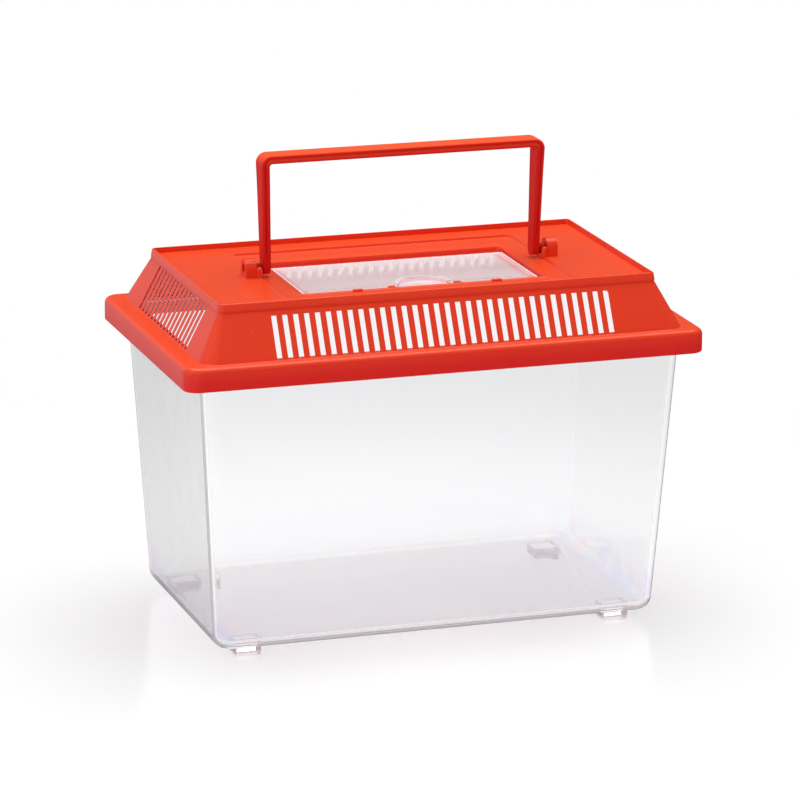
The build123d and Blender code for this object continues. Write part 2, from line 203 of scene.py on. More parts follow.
class HandleSizes(bpy.types.PropertyGroup):
    half_top: length("Half top", 51.95, "From the middle to the outside of the bar's end")
    half_foot: length("Half foot", 50.8, "From the middle to the outside of a foot")
    thickness_top: length("Thickness at the top", 3.0, "Thickness of the strap in its bar")
    thickness_foot: length("Thickness at the foot", 2.8, "Thickness of the strap at its feet")
    width_top: length("Width at the top", 8.0, "Width of the strap in its bar")
    width_foot: length("Width at the foot", 5.0, "Width of the strap at its feet")
    outer_corner: length("Outer corner", 3.6, "Outer radius of the strap's two bends")
    inner_corner: length("Inner corner", 1.0, "Inner radius of the strap's two bends")
    outer_flange: length("Outer flange", 1.05, "From the strap's outer face to the groove")
    inner_flange: length("Inner flange", 1.35, "From the groove to the strap's inner face")
    groove: length("Groove", 0.5, "Depth of the grooves in the strap's edges")
    groove_lead: length("Groove lead", 3.5, "From the pivot up to where the grooves begin")
    outer_edge: length("Outer edge", 0.6, "Rounding of the strap's outer edges")
    inner_edge: length("Inner edge", 0.4, "Rounding of the strap's inner edges")
    pin_radius: length("Pin radius", 1.5, "Radius of the pins that turn in the brackets")
    pin_chamfer: length("Pin chamfer", 0.4, "Chamfer of the pins' ends")
    bracket_gap: length("Bracket gap", 2.85, "From the strap's foot to the bracket's ear")
    bracket_length: length("Bracket length", 3.8, "Length of the ear along the pin")
    bracket_radius: length("Bracket radius", 3.3, "Radius of the ear's round top")
    bore_clearance: length("Bore clearance", 0.15, "Clearance round the pin in the ear's bore")
    plate_gap: length("Plate gap", 0.5, "From the strap's foot to the bracket's foot plate")
    plate_height: length("Plate height", 1.2, "Height of the foot plate over the deck")
    prong_radius: length("Prong radius", 1.1, "Radius of the two posts beside the pin")
    prong_height: length("Prong height", 3.7, "Height of those posts over the deck")
    prong_gap: length("Prong gap", 0.4, "From the pin to a post")


class Finishes(bpy.types.PropertyGroup):
    # Painted light and shade on one red plastic: the deep red on upright faces is painted shade, the bright
    # red on level faces painted light from above
    red_painted_shade: colour("Deep red", (0.74, 0.007, 0.006, 1), "Lid on its upright faces")
    red_painted_light: colour("Bright red", (0.92, 0.080, 0.020, 1), "Lid on its level faces, lit from above")
    # The handle's painted shade and painted light, in the same way
    handle_painted_shade: colour("Deep handle red", (0.64, 0.009, 0.008, 1), "Handle on its upright faces")
    handle_painted_light: colour("Bright handle red", (1.0, 0.100, 0.032, 1), "Handle on its level faces")
    clear: colour("Clear", (0.912, 0.914, 0.920, 1), "Clear plastic of the tank")
    hatch: colour("Hatch", (0.97, 0.93, 0.945, 1), "Clear plastic of the hatch")
    # Milky haze of the hatch; where it thickens at a slant it is a painted sheen
    haze: colour("Haze", (1.0, 0.92, 0.935, 1), "Milky scatter in the hatch")
    floor: colour("Studio floor", (0.75, 0.75, 0.755, 1), "The floor under the box")


class Wire:
    """A node socket that Python expressions can use. The bar | gives the larger of two."""

    def __init__(self, graph, socket):
        self.graph = graph
        self.socket = socket

    def math(self, operation, first, second):
        """A Math node's result for two wires or numbers."""
        return self.graph.add("ShaderNodeMath", {"operation": operation}, {0: first, 1: second})

    def __add__(self, other):
        return self.math("ADD", self, other)

    def __radd__(self, other):
        return self.math("ADD", other, self)

    def __sub__(self, other):
        return self.math("SUBTRACT", self, other)

    def __rsub__(self, other):
        return self.math("SUBTRACT", other, self)

    def __mul__(self, other):
        return self.math("MULTIPLY", self, other)

    def __rmul__(self, other):
        return self.math("MULTIPLY", other, self)

    def __abs__(self):
        return self.graph.add("ShaderNodeMath", {"operation": "ABSOLUTE"}, {0: self})

    def __or__(self, other):
        return self.math("MAXIMUM", self, other)

    def __ror__(self, other):
        return self.math("MAXIMUM", other, self)


class Graph:
    """A node tree that is filled from Python."""

    def __init__(self, tree):
        self.tree = tree
        tree.nodes.clear()

    @classmethod
    def material(cls, name):
        """The graph of a new material."""
        made = bpy.data.materials.new(name)
        made.use_nodes = True
        graph = cls(made.node_tree)
        graph.owner = made
        return graph

    def add(self, kind, settings=None, inputs=None, output=0):
        """Adds a node, sets it up, joins or fills its inputs, and returns one of its outputs."""
        node = self.tree.nodes.new(kind)
        for name, value in (settings or {}).items():
            if name == "stops":
                self.set_stops(node.color_ramp, value)
            else:
                setattr(node, name, value)
        for name, value in (inputs or {}).items():
            if isinstance(value, Wire):
                self.tree.links.new(value.socket, node.inputs[name])
            else:
                node.inputs[name].default_value = value
        return Wire(self, node.outputs[output]) if len(node.outputs) else node

    def set_stops(self, ramp, stops):
        """Fills a colour ramp with (place, colour) pairs."""
        while len(ramp.elements) < len(stops):
            ramp.elements.new(1.0)
        for element, (place, value) in zip(ramp.elements, stops):
            element.position = place
            element.color = value

    def place(self):
        """The piece's own coordinates, in metres."""
        return self.add("ShaderNodeTexCoord", output="Object")

    def split(self, vector):
        """A vector's three numbers."""
        first = self.add("ShaderNodeSeparateXYZ", inputs={0: vector})
        return tuple(self.beside(first, axis) for axis in "XYZ")

    def beside(self, wire, name):
        """Another output of the node that a wire comes from."""
        return Wire(self, wire.socket.node.outputs[name])

    def noise(self, scale, detail, place):
        """A cloudy pattern of numbers around one half."""
        return self.add("ShaderNodeTexNoise", inputs={"Vector": place, "Scale": scale, "Detail": detail})

    def ramp(self, value, low, high):
        """0 below low, 1 above high and smooth between."""
        return self.add("ShaderNodeMapRange", {"interpolation_type": "SMOOTHSTEP"},
                        {"Value": value, "From Min": low, "From Max": high})

    def mix(self, share, first, second):
        """A colour between two colours."""
        return self.add("ShaderNodeMix", {"data_type": "RGBA"},
                        {"Factor": share, 6: first, 7: second}, output=2)

    def bump(self, height, distance, strength=1.0):
        """A normal that makes a pattern look raised by the distance."""
        return self.add("ShaderNodeBump", inputs={
            "Height": height, "Distance": distance, "Strength": strength})

    def principled(self, **inputs):
        """A Principled shader, from its sockets' names with _ for each blank."""
        return self.add("ShaderNodeBsdfPrincipled", inputs={
            name.replace("_", " "): value for name, value in inputs.items()})

    def glow(self, value):
        """Plain light of one colour."""
        return self.add("ShaderNodeEmission", inputs={"Color": value, "Strength": 1.0})

    def blend(self, share, first, second):
        """A shader between two shaders."""
        return self.add("ShaderNodeMixShader", inputs={0: share, 1: first, 2: second})

    def show(self, shader):
        """Makes a shader the material's surface and returns the material."""
        self.add("ShaderNodeOutputMaterial", inputs={"Surface": shader})
        return self.owner


# The red plastic. Scales are those of the textures, whose coordinates are in metres.
POLYPROPYLENE_IOR = 1.49
CLOUD_COLOUR = (0.95, 0.20, 0.09, 1)
CLOUD_SHARE = 0.05
CLOUD_SCALE = 45.0
SHINE_SCALE = 260.0
SHINE_VARIATION = 0.10
FLOW_SCALE = 95.0
FLOW_BENDS = 0.6
FLOW_BEND_SCALE = 12.0
GRAIN_SCALE = 1500.0
GRAIN_SHARE = 0.25
SWELL_SCALE = 140.0
SWELL_SHARE = 1.2
RED_RELIEF = 0.03 * MM


def red_plastic(name, deep, bright, roughness, shine, painted_lights=()):
    """Moulded polypropylene with painted light and shade: orange where it lies level, as if lit from above,
    and a deeper red in painted shade where it stands.

    Level faces show the lines in which the plastic flowed. A painted light is (low, high, share): upright
    faces take on that share of the orange as they rise from the height low to high.
    """
    graph = Graph.material(name)
    place = graph.place()
    _, _, height = graph.split(place)
    level = graph.add("ShaderNodeAttribute", {"attribute_name": LEVELNESS}, output="Fac")
    # Share of painted light: full on level faces, none on upright ones, and raised up the heights of each
    # painted light
    lit = level
    for low, high, share in painted_lights:
        lit = lit | graph.ramp(height, low, high) * share
    clouds = graph.noise(CLOUD_SCALE, 3.0, place) * CLOUD_SHARE
    base = graph.mix(clouds, graph.mix(lit, tuple(deep), tuple(bright)), CLOUD_COLOUR)
    flow = graph.add("ShaderNodeTexWave", {"bands_direction": "Y", "wave_profile": "SIN"}, {
        "Vector": place, "Scale": FLOW_SCALE, "Distortion": FLOW_BENDS, "Detail": 1.0,
        "Detail Scale": FLOW_BEND_SCALE}, output="Fac")
    grain = graph.noise(GRAIN_SCALE, 2.0, place) * GRAIN_SHARE
    swell = graph.noise(SWELL_SCALE, 1.0, place) * SWELL_SHARE
    return graph.show(graph.principled(
        Base_Color=base, Roughness=roughness + graph.noise(SHINE_SCALE, 3.0, place) * SHINE_VARIATION,
        IOR=POLYPROPYLENE_IOR, Specular_IOR_Level=shine,
        Normal=graph.bump(grain + flow * level + swell, RED_RELIEF)))


# The clear plastic. Where a value is a pair, a change begins at the first and is complete at the
# second. The caught light's depth counts a ray's bounces.
POLYSTYRENE_IOR = 1.58
CLEAR_ROUGHNESS = 0.012
CLEAR_VARIATION = 0.02
CLEAR_SCALE = 300.0
LAMP_OPENING = (0.965, 0.965, 0.97, 1)
# Painted glows that stand in for light caught in the walls: pale above the feet, darker in them
PAINTED_CAUGHT_LIGHT = (0.80, 0.76, 0.765, 1)
PAINTED_CAUGHT_LIGHT_IN_FEET = (0.60, 0.53, 0.57, 1)
CAUGHT_DEPTH = (4.0, 7.0)
CAUGHT_FOOT_TOP = (3.5 * MM, 5.0 * MM)
# Painted shade in the feet under the tank: their darker tint, and the heights over which it gives way
FOOT_PAINTED_SHADE = (0.72, 0.64, 0.68, 1)
FOOT_TOP = (3.5 * MM, 4.5 * MM)
# Painted reflection: pink and blue mottling low in the tank, strongest at the ends
PAINTED_REFLECTION_SCALE = 75.0
PAINTED_REFLECTION_STOPS = ((0.30, (0.95, 0.78, 0.86, 1)), (0.45, (0.78, 0.82, 0.98, 1)),
                (0.56, (0.90, 0.93, 0.92, 1)), (0.70, (0.95, 0.80, 0.86, 1)))
PAINTED_REFLECTION_HEIGHT = (6.0 * MM, 22.0 * MM)
PAINTED_REFLECTION_ALONG = (72.0 * MM, 78.0 * MM)
PAINTED_REFLECTION_SHARE = 0.08
PAINTED_REFLECTION_END_SHARE = 0.85
WAVE_SCALE = 32.0
WAVE_RELIEF = 0.25 * MM
WAVE_STRENGTH = 0.2
HAZE_ROUGHNESS = 0.25
HAZE_LEAST = 0.15
# Painted sheen: how much the haze thickens where the hatch is seen at a slant
HAZE_PAINTED_SHEEN = 0.46
HAZE_THINNED = 0.6
HAZE_THINNING = (0.0, 0.4 * MM)
# Painted highlights: how much of the white the highlighted edges take, and its colour
PAINTED_HIGHLIGHT_SHARE = 0.92
WHITE_PAINTED_HIGHLIGHT = (1.0, 0.97, 0.975, 1)
# Painted reflection: the grip's pink stands for the red lid seen in it, and comes in over these heights
# above grip_low
GRIP_PAINTED_REFLECTION = (0.80, 0.60, 0.67, 1)
GRIP_PAINTED_REFLECTION_RISE = (0.1 * MM, 0.6 * MM)


def clear_tint(graph, place, tint):
    """The tint of clear plastic, with painted reflections in pink and blue low down at the ends and painted
    shade in the feet.
    """
    along, _, height = graph.split(place)
    painted_reflection = graph.add("ShaderNodeValToRGB", {"stops": PAINTED_REFLECTION_STOPS},
                       {0: graph.noise(PAINTED_REFLECTION_SCALE, 1.0, place)})
    low = 1 - graph.ramp(height, *PAINTED_REFLECTION_HEIGHT)
    at_ends = graph.ramp(abs(along), *PAINTED_REFLECTION_ALONG)
    share = low * (PAINTED_REFLECTION_SHARE + at_ends * PAINTED_REFLECTION_END_SHARE)
    return graph.mix(graph.ramp(height, *FOOT_TOP), FOOT_PAINTED_SHADE, graph.mix(share, tuple(tint), painted_reflection))


def clear_shader(graph, tinted, place, waves):
    """The refracting plastic itself."""
    return graph.principled(
        Base_Color=tinted, IOR=POLYSTYRENE_IOR, Transmission_Weight=1.0, Normal=waves,
        Roughness=CLEAR_ROUGHNESS + graph.noise(CLEAR_SCALE, 2.0, place) * CLEAR_VARIATION)


def caught(graph, place, shader):
    """Adds a painted glow where a ray has bounced many times in the plastic, which stands in for the light
    that stays caught between the walls and comes out pale at the edges.

    The painted glow is darker in the feet. The lamps' own light goes straight through the plastic.
    """
    _, _, height = graph.split(place)
    shadow_ray = graph.add("ShaderNodeLightPath", output="Is Shadow Ray")
    depth = graph.ramp(graph.beside(shadow_ray, "Ray Depth"), *CAUGHT_DEPTH)
    above_feet = graph.ramp(height, *CAUGHT_FOOT_TOP)
    # The painted glow: pale above the feet and darker in them
    pale = graph.blend(above_feet, graph.glow(PAINTED_CAUGHT_LIGHT_IN_FEET), graph.glow(PAINTED_CAUGHT_LIGHT))
    opening = graph.add("ShaderNodeBsdfTransparent", inputs={"Color": LAMP_OPENING})
    return graph.blend(shadow_ray, graph.blend(depth, shader, pale), opening)


def moulding_waves(graph, place):
    """The faint unevenness of a moulded face."""
    return graph.bump(graph.noise(WAVE_SCALE, 2.0, place), WAVE_RELIEF, WAVE_STRENGTH)


def clear_plastic(name, tint):
    """Clear polystyrene: refraction, faint moulding waves and caught light."""
    graph = Graph.material(name)
    place = graph.place()
    shader = clear_shader(graph, clear_tint(graph, place, tint), place, moulding_waves(graph, place))
    return graph.show(caught(graph, place, shader))


def hazy_plastic(name, tint, haze, painted_highlights, grip_low):
    """Clear polystyrene with a milky haze, and a painted sheen that thickens the haze where it is seen at a
    slant.

    The mask function gives the edges that are painted white as highlights, from a place's three numbers.
    Above the height grip_low the haze is thinner and the plastic takes a little pink as a painted
    reflection.
    """
    graph = Graph.material(name)
    place = graph.place()
    waves = moulding_waves(graph, place)
    along, across, height = graph.split(place)
    over_grip_low = height - grip_low
    in_grip = graph.ramp(over_grip_low, *GRIP_PAINTED_REFLECTION_RISE)
    tinted = graph.mix(in_grip, clear_tint(graph, place, tint), GRIP_PAINTED_REFLECTION)
    # The slant that drives the painted sheen
    slant = graph.add("ShaderNodeLayerWeight", inputs={"Blend": 0.5}, output="Facing")
    thinned = 1 - graph.ramp(over_grip_low, *HAZE_THINNING) * HAZE_THINNED
    white = painted_highlights(graph, along, across, height)
    share = (HAZE_LEAST + slant * HAZE_PAINTED_SHEEN) * thinned | white * PAINTED_HIGHLIGHT_SHARE
    milky = graph.principled(Base_Color=graph.mix(white, tuple(haze), WHITE_PAINTED_HIGHLIGHT),
                             Roughness=HAZE_ROUGHNESS, IOR=POLYSTYRENE_IOR, Normal=waves)
    shader = graph.blend(share, clear_shader(graph, tinted, place, waves), milky)
    return graph.show(caught(graph, place, shader))


def turn(start, end, steps):
    """Angles in radians from start to end, both given in degrees and both included."""
    return [math.radians(start + (end - start) * step / steps) for step in range(steps + 1)]


def arc(centre, radius, start, end, steps):
    """Points on an arc, in degrees, both ends included."""
    return [(centre[0] + radius * math.cos(angle), centre[1] + radius * math.sin(angle))
            for angle in turn(start, end, steps)]


def level_ring(half_x, half_y, radius, z, mark_x, mark_y, centre_y=0.0):
    """A level outline with round corners, with two more points on each side at its marks."""
    points = []
    for side_x, side_y, start in ((1, -1, -90), (1, 1, 0), (-1, 1, 90), (-1, -1, 180)):
        centre = (side_x * (half_x - radius), centre_y + side_y * (half_y - radius))
        points += [Vector((x, y, z)) for x, y in arc(centre, radius, start, start + 90, CORNER_STEPS)]
        if start in (-90, 90):
            points += [Vector((side_x * half_x, centre_y + side_x * y, z)) for y in (-mark_y, mark_y)]
        else:
            points += [Vector((side_y * x, centre_y + side_y * half_y, z)) for x in (mark_x, -mark_x)]
    return points


def skin(rings, joined=False, openings=()):
    """A mesh through rings of points, closed by flat caps or joined from the last ring to the first.

    An opening is (its columns, its outer rings, its inner rings), both from the lowest to the highest.
    """
    body = bmesh.new()
    rows = [[body.verts.new(point) for point in ring] for ring in rings]
    count = len(rows[0])
    left_out = set()
    for columns, outer, inner in openings:
        for ring_numbers in (outer, inner):
            for pair in zip(ring_numbers, ring_numbers[1:]):
                left_out.update((min(pair), column) for column in columns)
    for row, near in enumerate(rows if joined else rows[:-1]):
        far = rows[(row + 1) % len(rows)]
        for column in range(count):
            if (row, column) not in left_out:
                after = (column + 1) % count
                body.faces.new((near[column], near[after], far[after], far[column]))
    for columns, outer, inner in openings:
        for column in columns:
            near, far = [[rows[row][column] for row in ring_numbers]
                         + [rows[row][column + 1] for row in reversed(ring_numbers)]
                         for ring_numbers in (outer, inner)]
            for corner in range(len(near)):
                before = corner - 1
                body.faces.new((near[before], near[corner], far[corner], far[before]))
    if not joined:
        body.faces.new(reversed(rows[0]))
        body.faces.new(rows[-1])
    bmesh.ops.recalc_face_normals(body, faces=body.faces)
    return body


def placed(outline, along, axis):
    """The points of a cross-section at a place along the X or the Z axis."""
    return [(along, a, b) if axis == "X" else (a, b, along) for a, b in outline]


def prism(outline, start, end, axis="Z"):
    """A straight solid between two places along an axis, from the points of its cross-section."""
    return skin([placed(outline, along, axis) for along in (start, end)])


def turned(profile, steps, axis_place, axis="X"):
    """A round solid about an axis, from (place along the axis, radius) pairs, closed at both ends."""
    return skin([placed(arc(axis_place, radius, 0, 360, steps)[:-1], along, axis)
                 for along, radius in profile])


def as_object(name, body, material=None):
    """An object at the origin from a bmesh, which is freed."""
    mesh = bpy.data.meshes.new(name)
    body.to_mesh(mesh)
    body.free()
    made = bpy.data.objects.new(name, mesh)
    bpy.context.scene.collection.objects.link(made)
    if material:
        mesh.materials.append(material)
    return made


def plain(made):
    """Applies an object's modifiers, so that its mesh is what shows."""
    graph = bpy.context.evaluated_depsgraph_get()
    graph.update()
    mesh = bpy.data.meshes.new_from_object(made.evaluated_get(graph))
    made.modifiers.clear()
    old = made.data
    made.data = mesh
    mesh.name = made.name
    bpy.data.meshes.remove(old)
    return made


def discard(made):
    """Removes an object and its mesh."""
    mesh = made.data
    bpy.data.objects.remove(made)
    bpy.data.meshes.remove(mesh)


def combine(base, others):
    """Joins other objects to a base, and removes them."""
    for other in others:
        step = base.modifiers.new("joined", "BOOLEAN")
        step.operation = "UNION"
        step.solver = "EXACT"
        step.object = other
    plain(base)
    for other in others:
        discard(other)
    return base


def finish_edges(made, width, segments=SMALL_STEPS):
    """Rounds the sharp edges, keeps flat faces flat in their shading, and notes how level each face is."""
    for face in made.data.polygons:
        face.use_smooth = True
    if width:
        bevel = made.modifiers.new("edges", "BEVEL")
        bevel.width = width
        bevel.segments = segments
        bevel.limit_method = "ANGLE"
        bevel.angle_limit = math.radians(SHARP_ANGLE)
        bevel.miter_outer = "MITER_ARC"
    weight = made.modifiers.new("flat", "WEIGHTED_NORMAL")
    weight.keep_sharp = True
    plain(made)
    # How level each corner is, from which the red plastic paints light and shade
    level = made.data.attributes.new(LEVELNESS, "FLOAT", "CORNER")
    level.data.foreach_set("value", [max(0.0, corner.vector.z) for corner in made.data.corner_normals])


def seat(made, body, slot, *nodes):
    """Puts a finished piece on its body and hides the nodes it stands for."""
    if not made.data.polygons:
        raise RuntimeError(made.name + " has no faces")
    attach(made, body)
    if nodes:
        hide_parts(*nodes)


def tank_rings(sizes):
    """The tank's skin from the underside of its floor, up outside, over the rim and down inside."""
    bottom = sizes.foot_height
    top = TANK_HIGH.z
    rim_bottom = top - sizes.rim_thickness
    rim_x, rim_y = TANK_HIGH.x, TANK_HIGH.y

    def wall(z, inset, radius):
        share = (z - bottom) / (top - bottom)
        half_x = (sizes.floor_length + share * (sizes.top_length - sizes.floor_length)) / 2 - inset
        half_y = (sizes.floor_width + share * (sizes.top_width - sizes.floor_width)) / 2 - inset
        return level_ring(half_x, half_y, radius, z, half_x / 2, half_y / 2)

    def flange(z, inset):
        return level_ring(rim_x - inset, rim_y - inset, sizes.rim_corner - inset, z, rim_x / 2, rim_y / 2)

    rings = []
    for angle in turn(0, 90, FILLET_STEPS):
        inset = sizes.floor_edge * (1 - math.sin(angle))
        rings.append(wall(bottom + sizes.floor_edge * (1 - math.cos(angle)), inset, sizes.corner - inset))
    rings.append(wall(rim_bottom, 0, sizes.corner))
    for centre_z, start in ((rim_bottom + sizes.rim_edge, -90), (top - sizes.rim_edge, 0)):
        for angle in turn(start, start + 90, SMALL_STEPS):
            rings.append(flange(centre_z + sizes.rim_edge * math.sin(angle),
                                sizes.rim_edge * (1 - math.cos(angle))))
    inner_corner = sizes.corner - sizes.wall
    rings.append(wall(top, sizes.wall, inner_corner))
    inner_floor = bottom + sizes.floor
    for angle in turn(90, 0, FILLET_STEPS):
        inset = sizes.inner_edge * (1 - math.sin(angle))
        rings.append(wall(inner_floor + sizes.inner_edge * (1 - math.cos(angle)),
                          sizes.wall + inset, inner_corner - inset))
    return rings


class BOX_OT_tank(bpy.types.Operator):
    """Build the clear tank with its rim flange and four moulded feet"""
    bl_idname = "insect_box.tank"
    bl_label = "Tank"

    # A foot's root reaches this part of the way up through the floor, and is wider by this part of the taper
    ROOT_REACH = 1 / 3
    ROOT_GROWTH = 1 / 5

    def execute(self, context):
        sizes = context.scene.tank_sizes
        finish = clear_plastic("clear_polystyrene", context.scene.finishes.clear)
        shell = as_object("tank_shell", skin(tank_rings(sizes)), finish)
        x = sizes.floor_length / 2 - sizes.foot_end_inset - sizes.foot_size / 2
        y = sizes.floor_width / 2 - sizes.foot_side_inset - sizes.foot_size / 2
        combine(shell, [self.foot(sizes, *place) for place in ((-x, -y), (-x, y), (x, -y), (x, y))])
        finish_edges(shell, 0)
        seat(shell, "tank", "clear_plastic", "tank")
        return {"FINISHED"}

    def foot(self, sizes, x, y):
        """One tapered foot, whose root lies inside the tank's floor."""
        half = sizes.foot_size / 2
        root = sizes.foot_height + sizes.floor * self.ROOT_REACH
        body = bmesh.new()
        bmesh.ops.create_cube(body, size=1.0)
        for corner in body.verts:
            lean = sizes.foot_taper if corner.co.z < 0 else -sizes.foot_taper * self.ROOT_GROWTH
            corner.co.x = x + math.copysign(half - lean, corner.co.x)
            corner.co.y = y + math.copysign(half - lean, corner.co.y)
            corner.co.z = 0.0 if corner.co.z < 0 else root
        bmesh.ops.bevel(body, geom=body.edges[:], offset=sizes.foot_edge, segments=SMALL_STEPS,
                        profile=0.5, affect="EDGES")
        return as_object("foot", body)


def hood_half(sizes, z, inset=0.0):
    """Half length and half width of the hood's sloped faces at a level."""
    ledge = LID_LOW.z + sizes.skirt_depth
    rise = (z - ledge) / sizes.hood_height
    return (LID_HIGH.x - sizes.setback_x - sizes.end_run * rise - inset,
            LID_HIGH.y - sizes.setback_y - sizes.side_run * rise - inset)


def vent_half(sizes):
    """Half the length of a side's row of slots, and of an end's."""
    return tuple(((count - 1) * sizes.slot_pitch + sizes.slot_width) / 2
                 for count in (sizes.side_slots, sizes.end_slots))


# Where a ring's marks stand when its side is shorter than a row of slots, as a share of half the side
FREE_MARK = 0.6
# A bead's cross-section: shares of its width outwards, and of its height
BEAD_SHAPE = ((1.0, 0.0), (0.75, 1.0), (0.3, 1.0))


def lid_levels(sizes):
    """The heights that the lid's parts share, by name."""
    hatch = bpy.context.scene.hatch_sizes
    underside = HATCH_LOW.z + hatch.barrel_radius
    ledge = LID_LOW.z + sizes.skirt_depth
    hood_top = ledge + sizes.hood_height
    lip_top = hood_top + sizes.lip_height
    deck = lip_top - sizes.lip_depth
    return {"ledge": ledge, "hood_top": hood_top, "lip_top": lip_top, "deck": deck,
            "deck_under": deck - sizes.deck_thickness, "panel": deck - sizes.panel_depth,
            "slot_low": ledge + sizes.slot_foot, "side_slot_high": hood_top - sizes.side_slot_head,
            "end_slot_high": hood_top - sizes.end_slot_head,
            "seat": underside, "hatch": underside + hatch.thickness, "well": HATCH_LOW.z}


class LidOutlines:
    """The lid's level outlines and the rings that they make on its way round from outside to inside."""

    def __init__(self, sizes):
        self.sizes = sizes
        self.at = lid_levels(sizes)
        self.vents = vent_half(sizes)

    def ring(self, half_x, half_y, radius, z, centre_y=0.0, flare=0.0):
        """A ring with its marks at the ends of the rows of slots.

        On a side too short for that they stand at a share of its half length.
        """
        marks = [vent + flare if half > vent + flare + radius else FREE_MARK * half
                 for vent, half in zip(self.vents, (half_x, half_y))]
        return level_ring(half_x, half_y, radius, z, *marks, centre_y)

    def skirt(self, inset, z):
        return self.ring(LID_HIGH.x - inset, LID_HIGH.y - inset, self.sizes.corner - inset, z)

    def hood(self, z, radius, inset=0.0, flare=0.0):
        half_x, half_y = hood_half(self.sizes, z, inset)
        return self.ring(half_x, half_y, radius, z, flare=flare)

    def lip(self, inset, z):
        half_x, half_y = hood_half(self.sizes, self.at["hood_top"])
        grow = self.sizes.lip_overhang - inset
        return self.ring(half_x + grow, half_y + grow, self.sizes.hood_top_corner + grow, z)

    def panel(self, grow, z):
        sizes = self.sizes
        return self.ring(sizes.panel_half_length + grow, sizes.panel_half_width + grow,
                         sizes.panel_corner + grow, z, sizes.panel_centre)

    def window(self, grow, z):
        sizes = self.sizes
        half_y = (sizes.window_back - sizes.window_front) / 2
        return self.ring(sizes.window_half_length + grow, half_y + grow, sizes.window_corner + grow, z,
                         (sizes.window_back + sizes.window_front) / 2)

    def bead(self, outline, grow, z):
        """A low raised bead that starts outside an edge of the deck and ends at it."""
        return [outline(grow + share * self.sizes.bead_width, z + rise * self.sizes.bead_height)
                for share, rise in BEAD_SHAPE]

    def skirt_and_ledge(self):
        """Up the skirt, round its top and along the ledge to the foot of the hood."""
        sizes, ledge = self.sizes, self.at["ledge"]
        rings = [self.skirt(sizes.skirt_foot * (1 - math.sin(angle)),
                            LID_LOW.z + sizes.skirt_foot * (1 - math.cos(angle)))
                 for angle in turn(0, 90, SMALL_STEPS)]
        rings += [self.skirt(sizes.skirt_top * (1 - math.cos(angle)),
                             ledge - sizes.skirt_top * (1 - math.sin(angle)))
                  for angle in turn(0, 90, FILLET_STEPS)]
        slope = math.atan2(sizes.hood_height, sizes.side_run)
        reach = sizes.hood_foot * math.tan(slope / 2)
        base_x, base_y = hood_half(sizes, ledge)
        for angle in turn(0, math.degrees(slope), HOOD_FOOT_STEPS):
            out = reach - sizes.hood_foot * math.sin(angle)
            rise = sizes.hood_foot * (1 - math.cos(angle))
            rings.append(self.ring(base_x + out, base_y + out, sizes.hood_base_corner + out, ledge + rise))
        return rings

    def sloped_faces(self):
        """Up the hood's outer faces, with a ring at each height where slots begin or end."""
        sizes = self.sizes
        rings = []
        for level in ("slot_low", "side_slot_high", "end_slot_high", "hood_top"):
            share = (self.at[level] - self.at["ledge"]) / sizes.hood_height
            corner = sizes.hood_base_corner + share * (sizes.hood_top_corner - sizes.hood_base_corner)
            rings.append(self.hood(self.at[level], corner))
        return rings

    def lip_and_deck(self):
        """Out under the lip, over its top and down to the deck, and over the bead round the panel."""
        sizes, at = self.sizes, self.at
        rings = [self.lip(0, at["hood_top"])]
        rings += [self.lip(sizes.lip_lean + sizes.lip_round * (1 - math.cos(angle)),
                           at["lip_top"] - sizes.lip_round * (1 - math.sin(angle)))
                  for angle in turn(0, 90, SMALL_STEPS)]
        rings += [self.lip(sizes.lip_thickness - sizes.lip_edge * (1 - math.sin(angle)),
                           at["lip_top"] - sizes.lip_edge * (1 - math.cos(angle)))
                  for angle in turn(0, 90, SMALL_STEPS)]
        rings.append(self.lip(sizes.lip_thickness, at["deck"]))
        rings += self.bead(self.panel, 0.0, at["deck"])
        rings.append(self.panel(0.0, at["panel"]))
        return rings

    def window_and_well(self):
        """Over the bead round the window, down its slope and step, and round the wall below it."""
        sizes, at = self.sizes, self.at
        bead_foot = sizes.window_bevel - BEAD_SHAPE[-1][0] * sizes.bead_width
        rings = self.bead(self.window, bead_foot, at["panel"])
        rings += [self.window(grow, z) for grow, z in (
            (bead_foot, at["panel"]), (sizes.window_step_run, at["hatch"] + sizes.window_step),
            (0, at["hatch"]), (0, at["well"]), (sizes.well_wall, at["well"]),
            (sizes.well_wall, at["deck_under"]))]
        return rings

    def inner_faces(self):
        """Down inside: the hood from under its deck, and then the skirt."""
        sizes, at = self.sizes, self.at
        wall_level = sizes.hood_wall * math.hypot(sizes.side_run, sizes.hood_height) / sizes.hood_height
        ledge_under = at["ledge"] - sizes.skirt_wall
        corner = sizes.hood_base_corner - sizes.hood_wall
        rings = [self.hood(z, corner, wall_level, sizes.slot_flare)
                 for z in (at["deck_under"], at["side_slot_high"], at["slot_low"], ledge_under)]
        rings += [self.skirt(sizes.skirt_wall, z) for z in (ledge_under, LID_LOW.z)]
        return rings


def lid_rings(sizes):
    """The rings of the lid's skin, and the openings for its rows of slots."""
    lid = LidOutlines(sizes)
    rings = lid.skirt_and_ledge()
    outer = len(rings)
    rings += lid.sloped_faces() + lid.lip_and_deck() + lid.window_and_well()
    inner = len(rings)
    rings += lid.inner_faces()
    right, back, left, front = [side * SIDE_POINTS + FIRST_MARK for side in range(4)]
    openings = [((front, back), (outer, outer + 1), (inner + 2, inner + 1)),
                ((left, right), (outer, outer + 1, outer + 2), (inner + 2, inner + 1, inner))]
    return rings, openings


